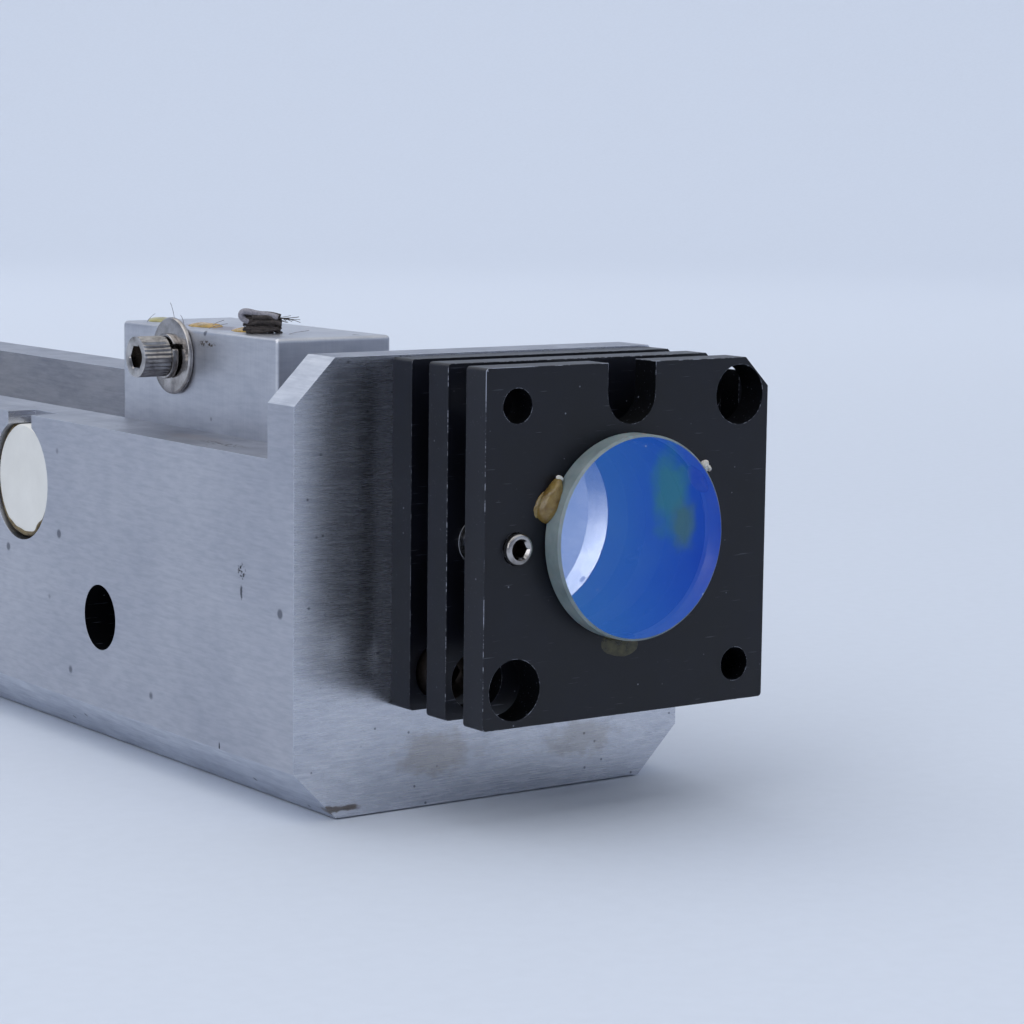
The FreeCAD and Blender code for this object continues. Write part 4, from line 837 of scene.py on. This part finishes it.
def springShape(shape, low, high, hookAcross):
    # hooks are rings over the pins; the coil is a circle of wire spun along the spring's axis
    centre = (low + high) / 2
    wire, hook, coil = (springLook[key] * mm for key in ("wire", "hook", "coil"))
    start = low.y + 2 * hook + springLook["gap"] * mm
    end = high.y - 2 * hook - springLook["gap"] * mm
    turns = round((end - start) / (springLook["pitch"] * mm))
    steps = turns * springLook["stepsPerTurn"]
    ring = bmesh.ops.create_circle(shape, cap_ends=True, segments=springLook["ring"], radius=wire,
                                   matrix=Matrix.Translation((centre.x + coil, start, centre.z)))
    verts = ring["verts"]
    face = verts[0].link_faces[0]
    bmesh.ops.spin(shape, geom=[face, *face.edges, *verts], cent=(centre.x, start, centre.z), axis=(0, 1, 0),
                   angle=2 * math.pi * turns, dvec=(0, (end - start) / steps, 0), steps=steps)
    for y in (low.y + hook + wire, high.y - hook - wire):
        turn = Matrix.Rotation(math.pi / 2, 4, "Y") if hookAcross else Matrix.Identity(4)
        loop = [shape.verts.new(((hook + wire * math.cos(a)), 0, wire * math.sin(a)))
                for a in (2 * math.pi * k / springLook["ring"] for k in range(springLook["ring"]))]
        edges = [shape.edges.new((loop[k], loop[(k + 1) % len(loop)])) for k in range(len(loop))]
        before = set(shape.verts) - set(loop)
        bmesh.ops.spin(shape, geom=loop + edges, cent=(0, 0, 0), axis=(0, 0, 1), angle=2 * math.pi,
                       steps=springLook["hookSteps"],
                       use_merge=True)
        made = [v for v in shape.verts if v not in before]
        bmesh.ops.remove_doubles(shape, verts=made, dist=fineWeld)
        made = [v for v in shape.verts if v not in before]
        bmesh.ops.transform(shape, matrix=Matrix.Translation((centre.x, y, centre.z)) @ turn, verts=made)
    bmesh.ops.recalc_face_normals(shape, faces=shape.faces)


for node, hookAcross in (("yaw_springs", False), ("pitch_springs", True)):
    shape = bmesh.new()
    for low, high in islandsOf(node):
        springShape(shape, low, high, hookAcross)
    springs = givePiece(shape, node.replace("_s", "S") + "Coils", ["wire"], node, 60)
    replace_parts(springs, node)
print("springs made")

# glue beads and the singed tuft on the block's top

blockTop = boxOf("clamp_block")[1].z / mm
glueLook = {"flat": 0.55, "uneven": 0.35, "size": 1.6, "paleBand": 8.0, "sunk": 0.02}
paleFrom = boxOf("block_glue")[1].y - glueLook["paleBand"] * mm
shape = bmesh.new()
for i, (low, high) in enumerate(islandsOf("block_glue")):
    middle = (low + high) / 2
    wide, long = (high.x - low.x) / 2, (high.y - low.y) / 2
    sized = Matrix.Translation((middle.x, middle.y, blockTop * mm)) @ Matrix.Diagonal(
        (wide, long, glueLook["flat"] * mm, 1))
    made = bmesh.ops.create_icosphere(shape, subdivisions=5, radius=1.0, matrix=sized)["verts"]
    offset = Vector((i * 4.1, i * 2.7, 0))
    for vert in made:
        push = noise.noise_vector(Vector((vert.co.x, vert.co.y, 0)) / (glueLook["size"] * mm) + offset)
        vert.co += Vector((push.x, push.y * 2, push.z * 0.3)) * glueLook["uneven"] * mm
        vert.co.z = max(vert.co.z, (blockTop - glueLook["sunk"]) * mm)
    for face in facesOf(made):
        face.material_index = 1 if middle.y > paleFrom else 0
beads = givePiece(shape, "glueBeads", ["glue", "paleGlue"], "block_glue", 60)
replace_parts(beads, "block_glue")

random.seed(12)
tuftAt = centreOf("fibre_tuft") / mm
tuftLook = {"turn": math.radians(-32), "raised": 0.95, "strands": 44, "legs": 16, "hairs": 9, "bends": 4,
            "curlRadii": ((-0.5, 0.36), (-0.15, 0.42), (0.2, 0.42), (0.6, 0.36)), "looseHair": 0.035}
shape = bmesh.new()
along = Vector((math.cos(tuftLook["turn"]), math.sin(tuftLook["turn"]), 0))
aside = Vector((-math.sin(tuftLook["turn"]), math.cos(tuftLook["turn"]), 0))
up = Vector((0, 0, 1))
base = Vector((tuftAt.x, tuftAt.y, blockTop + tuftLook["raised"]))
for i in range(tuftLook["strands"]):
    reach = random.uniform(-3.0, -1.6), random.uniform(1.0, 2.2)
    rise = random.uniform(-0.75, 1.7)
    side = random.uniform(-0.9, 0.9)
    points = []
    for k in range(tuftLook["bends"] + 1):
        share = k / tuftLook["bends"]
        here = reach[0] + (reach[1] - reach[0]) * share
        lift = rise * (0.5 + 0.55 * math.sin(math.pi * (0.25 + share * 0.6))) + random.uniform(-0.18, 0.18)
        shift = side + random.uniform(-0.25, 0.25)
        points.append(base + along * here + aside * shift + up * max(-0.7, lift))
    addShape(shape, strand(points, random.uniform(0.13, 0.3)), 0)
curl = [(-2.2, 0.6), (-3.0, 0.9), (-3.35, 1.5), (-2.9, 1.95), (-2.0, 1.85), (-0.9, 1.5), (0.6, 1.5),
        (1.6, 1.1)]
for side, radius in tuftLook["curlRadii"]:
    points = [base + along * x + aside * side + up * z for x, z in curl]
    addShape(shape, strand(points, radius), 1 if side < 0 else 0)
for i in range(tuftLook["legs"]):
    foot = Vector((tuftAt.x, tuftAt.y, blockTop)) + aside * random.uniform(-0.6, 0.6)
    points = [foot + along * random.uniform(-2.0, 2.2) + aside * 0.2,
              base + along * random.uniform(-1.5, 1.2) + up * 0.6]
    addShape(shape, strand(points, random.uniform(0.1, 0.22)), 0)
for i in range(tuftLook["hairs"]):
    tip = random.uniform(2.4, 4.6)
    points = [base + along * 1.4 + aside * random.uniform(-0.5, 0.5) + up * random.uniform(0.5, 1.2),
              base + along * (1.4 + tip) * 0.55 + aside * random.uniform(-0.7, 0.7)
              + up * random.uniform(0.5, 1.3),
              base + along * tip + aside * random.uniform(-0.9, 0.9) + up * random.uniform(0.4, 1.4)]
    addShape(shape, strand(points, random.uniform(0.03, 0.06)), 0)
hairs = [((-17.0, -57.5), (-1.4, 3.0)), ((-18.6, -52.5), (0.6, 1.2)), ((-17.0, -60.0), (-1.2, 1.4)),
         ((-16.5, -66.0), (1.6, 1.0)), ((-18.0, -68.5), (2.2, 0.7)), ((-14.0, -82.5), (2.4, 0.5))]
for (x, y), (lean, tall) in hairs:
    points = [Vector((x, y, blockTop)), Vector((x + lean * 0.3, y - 0.4, blockTop + tall * 0.6)),
              Vector((x + lean, y - 1.2, blockTop + tall))]
    addShape(shape, strand(points, tuftLook["looseHair"]), 1)
tuft = givePiece(shape, "fibreTuft", ["fibre", "paleFibre"], "fibre_tuft", 60)
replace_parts(tuft, "fibre_tuft")
print("glue and tuft made")

# side port

low, high = boxOf("port_disc")
middle = (low + high) / 2
portLook = {"radius": (high.z - low.z) / 2 / mm, "thick": (high.x - low.x) / mm, "edge": 0.25,
            "slotHalf": 3.65}
ringLook = {"inner": 0.05, "outer": 0.55, "middle": 0.28, "round": 0.34, "crown": 0.35, "deep": 2.0, "arc": 6,
            "uneven": 0.45, "soft": 0.8}
shape = bmesh.new()
radius, thick, edge = portLook["radius"], portLook["thick"], portLook["edge"]
profile = [(0, 0), (radius, 0), (radius, thick - edge), (radius - edge, thick), (0, thick)]
lathe(shape, profile, 96, facing((-1, 0, 0), (high.x, middle.y, middle.z)))
disc = givePiece(shape, "portDisc", ["ceramic"], "port_disc", 30)
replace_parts(disc, "port_disc")

shape = bmesh.new()
start = (radius + ringLook["inner"], thick - ringLook["deep"])
crown = (radius + ringLook["middle"], thick - ringLook["crown"])
bead = [start]
bead += [(crown[0] + ringLook["round"] * math.cos(a), crown[1] + ringLook["round"] * math.sin(a))
         for a in (math.pi - math.pi * k / ringLook["arc"] for k in range(ringLook["arc"] + 1))]
bead += [(radius + ringLook["outer"], thick - ringLook["deep"]), start]
made = lathe(shape, bead, 144, facing((-1, 0, 0), (high.x, middle.y, middle.z)))
for vert in made:
    aside, rise = vert.co.y - middle.y, vert.co.z - middle.z
    turn = math.atan2(rise, aside)
    hang = 0.5 - 0.5 * math.sin(turn + 0.5)
    wave = noise.noise(Vector((math.cos(turn) * 3, math.sin(turn) * 3, 0.4))) * ringLook["uneven"]
    inwards = Vector((0, -aside, -rise)).normalized()
    if vert.co.x < low.x + ringLook["soft"] * mm:
        vert.co += inwards * max(0.0, hang * 0.45 + wave) * mm
        vert.co.x += (0.3 - 0.55 * hang - wave * 0.3) * mm
slotVerts = [v for v in shape.verts
             if v.co.z > middle.z and abs(v.co.y - middle.y) < portLook["slotHalf"] * mm]
bmesh.ops.delete(shape, geom=slotVerts, context="VERTS")
bmesh.ops.holes_fill(shape, edges=[e for e in shape.edges if e.is_boundary], sides=0)
bmesh.ops.recalc_face_normals(shape, faces=shape.faces)
glueRing = givePiece(shape, "portGlueRing", ["brownGlue"], "port_glue", 60)
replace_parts(glueRing, "port_glue")
print("side port made")

# detector case and its coaxial socket

shape = cadCopy("detector_case")
bevelEdges(shape, 0.35, 30, 3)
case = givePiece(shape, "detectorHousing", ["black"], "detector_case", 14)
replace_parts(case, "detector_case")

low, high = boxOf("signal_socket")
middle = (low + high) / 2
caseBack = boxOf("detector_case")[1].y
socketLook = {"barrel": 4.8, "inner": 4.0, "thread": 0.22, "threadPitch": 0.8, "collar": 7.0,
              "collarThick": 1.5, "insulator": 2.4, "contact": 0.7, "nut": 6.4, "nutThick": 2.0,
              "well": 2.6, "insulatorTop": 7.5, "buried": -3.0, "corner": 0.3}
length = (high.y - caseBack) / mm
shape = bmesh.new()
place = facing((0, 1, 0), (middle.x, caseBack, middle.z))
barrel = socketLook["barrel"]
well, corner = socketLook["well"], socketLook["corner"]
profile = [(0.0, well), (socketLook["inner"], well), (socketLook["inner"], length - corner),
           (socketLook["inner"] + corner, length), (barrel - corner, length), (barrel, length - corner)]
level = length - 1.2
while level > socketLook["collarThick"] + socketLook["nutThick"] + 1.0:
    profile += [(barrel, level), (barrel - socketLook["thread"], level - socketLook["threadPitch"] / 2)]
    level -= socketLook["threadPitch"]
profile += [(barrel, level), (barrel, socketLook["buried"]), (0.0, socketLook["buried"])]
lathe(shape, profile, 64, place)
collar = socketLook["collar"]
lathe(shape, [(barrel, 0.0), (collar, 0.0), (collar, socketLook["collarThick"] - corner),
              (collar - corner, socketLook["collarThick"]), (barrel, socketLook["collarThick"])], 64, place)
nutMiddle = Matrix.Translation((0, 0, (socketLook["collarThick"] + socketLook["nutThick"] / 2) * mm))
nut = bmesh.ops.create_cone(shape, cap_ends=True, segments=6, radius1=socketLook["nut"] * mm,
                            radius2=socketLook["nut"] * mm, depth=socketLook["nutThick"] * mm,
                            matrix=place @ nutMiddle)["verts"]
nutEdges = list({e for v in nut for e in v.link_edges})
bmesh.ops.bevel(shape, geom=nutEdges, offset=0.2 * mm, offset_type="OFFSET", affect="EDGES", segments=2,
                profile=0.5, material=-1)
lathe(shape, [(0.0, socketLook["insulatorTop"]), (socketLook["insulator"], socketLook["insulatorTop"]),
              (socketLook["insulator"], well)], 48, place, 1)
lathe(shape, [(0.0, length - 1.5), (0.4, length - 1.5), (socketLook["contact"], length - 2.0),
              (socketLook["contact"], 7.4)], 24, place, 2)
socket = givePiece(shape, "signalSocketBody", ["socket", "insulator", "gold"], "signal_socket", 30)
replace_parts(socket, "signal_socket")
print("detector end made")

# pieces that keep their CAD shape under a softened edge

softened = {
    "far_mirror": (0.3, 3, ["clear"]), "mirror_cell": (0.3, 2, ["acetal"]),
    "piezo_ring": (0.25, 2, ["piezo"]),
    "sampler_holder": (0.35, 2, ["block"]), "sampler_glass": (0.15, 1, ["clear"]),
    "board_ring": (0.15, 1, ["acetal"]), "photodiode": (0.15, 2, ["socket"]),
    "detector_board": (0.08, 1, ["board"]), "yaw_seat": (0.1, 1, ["ball"]), "pitch_seat": (0.1, 1, ["ball"]),
    "front_spring_pins": (0.12, 2, ["ball"]), "middle_front_pins": (0.12, 2, ["ball"]),
    "middle_back_pins": (0.12, 2, ["ball"]), "rear_spring_pins": (0.12, 2, ["ball"]),
}
for node, (width, segments, materials) in softened.items():
    shape = cadCopy(node)
    bevelEdges(shape, width, 40, segments)
    words = node.split("_")
    name = words[0] + "".join(w.title() for w in words[1:]) + "Body"
    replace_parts(givePiece(shape, name, materials, node, 14), node)

plainFinish = {"clamp_block": "block", "pitch_pivot_balls": "ball", "yaw_pivot_balls": "ball",
               "yaw_tip_ball": "ball", "pitch_tip_ball": "ball"}
for node, key in plainFinish.items():
    nodes[node].data.materials.clear()
    nodes[node].data.materials.append(finish[key])
print("remaining pieces made")

# stage, light and camera

view = {"place": (-213.3, -409.8, 84.0), "yaw": 35.755, "pitch": 7.31, "roll": 0.69, "lens": 102.6}
yaw, pitch, roll = (math.radians(view[k]) for k in ("yaw", "pitch", "roll"))
forward = Vector((math.sin(yaw) * math.cos(pitch), math.cos(yaw) * math.cos(pitch), -math.sin(pitch)))
right = Vector((math.cos(yaw), -math.sin(yaw), 0))
upward = right.cross(forward)
across = right * math.cos(roll) + upward * math.sin(roll)
upright = upward * math.cos(roll) - right * math.sin(roll)
cameraData = bpy.data.cameras.new("studioCamera")
cameraData.lens = view["lens"]
cameraData.sensor_width = 36
camera = bpy.data.objects.new("studioCamera", cameraData)
scene.collection.objects.link(camera)
camera.matrix_world = (Matrix.Translation(Vector(view["place"]) * mm)
                       @ Matrix((across, upright, -forward)).transposed().to_4x4())
scene.camera = camera

stageLook = {"flat": 1500.0, "bend": 900.0, "tall": 900.0, "drop": 0.2, "steps": 14}
shape = bmesh.new()
profile = [(0, -stageLook["drop"]), (stageLook["flat"], -stageLook["drop"])]
profile += [(stageLook["flat"] + stageLook["bend"] * math.sin(a),
             -stageLook["drop"] + stageLook["bend"] * (1 - math.cos(a)))
            for a in (math.pi / 2 * k / stageLook["steps"] for k in range(1, stageLook["steps"] + 1))]
profile += [(stageLook["flat"] + stageLook["bend"], stageLook["bend"] + stageLook["tall"])]
lathe(shape, profile, 96, Matrix.Identity(4))
bowl = bpy.data.meshes.new("studioBowl")
shape.to_mesh(bowl)
shape.free()
bowl.shade_smooth()
backdrop = bpy.data.objects.new("studioBowl", bowl)
scene.collection.objects.link(backdrop)
paper, tree, shader, coords = newMaterial("palePaper", Roughness=0.8)
tone = ramp(tree, grain(tree, scaledCoords(tree, coords), 2.5, 3, 0.5), "Fac",
            [(0.3, "#ced5e1"), (0.7, "#d0d7e3")])
tree.links.new(tone.outputs["Color"], shader.inputs["Base Color"])
bowl.materials.append(paper)

world = bpy.data.worlds.new("studio")
scene.world = world
world.use_nodes = True
background = world.node_tree.nodes["Background"]
background.inputs["Color"].default_value = hexColour("#eef1f6")
background.inputs["Strength"].default_value = 0.98

lights = [
    {"name": "topSoftbox", "place": (-0.5, 0.35, 1.3), "aim": (0, 0, 0.03), "size": (1.8, 1.6), "power": 7},
    {"name": "leftSoftbox", "place": (-1.1, -0.5, 0.55), "aim": (0, 0, 0.03), "size": (0.7, 0.7), "power": 3},
    {"name": "backdropWash", "place": (0.5, 0.7, 1.2), "aim": (1.45, 2.0, 0.35),
     "size": (1.6, 0.5), "power": 5},
    {"name": "channelBounce", "place": (-0.008, -0.0975, 0.043), "aim": (0.019, -0.107, 0.022),
     "size": (0.006, 0.006), "power": 0.005, "spread": 80},
]
for row in lights:
    data = bpy.data.lights.new(row["name"], "AREA")
    data.shape = "RECTANGLE"
    data.size, data.size_y = row["size"]
    data.energy = row["power"]
    data.spread = math.radians(row.get("spread", 180))
    lamp = bpy.data.objects.new(row["name"], data)
    scene.collection.objects.link(lamp)
    lamp.location = row["place"]
    lamp.rotation_euler = (Vector(row["aim"]) - Vector(row["place"])).to_track_quat("-Z", "Y").to_euler()
    lamp.visible_camera = False
print("stage, light and camera made")
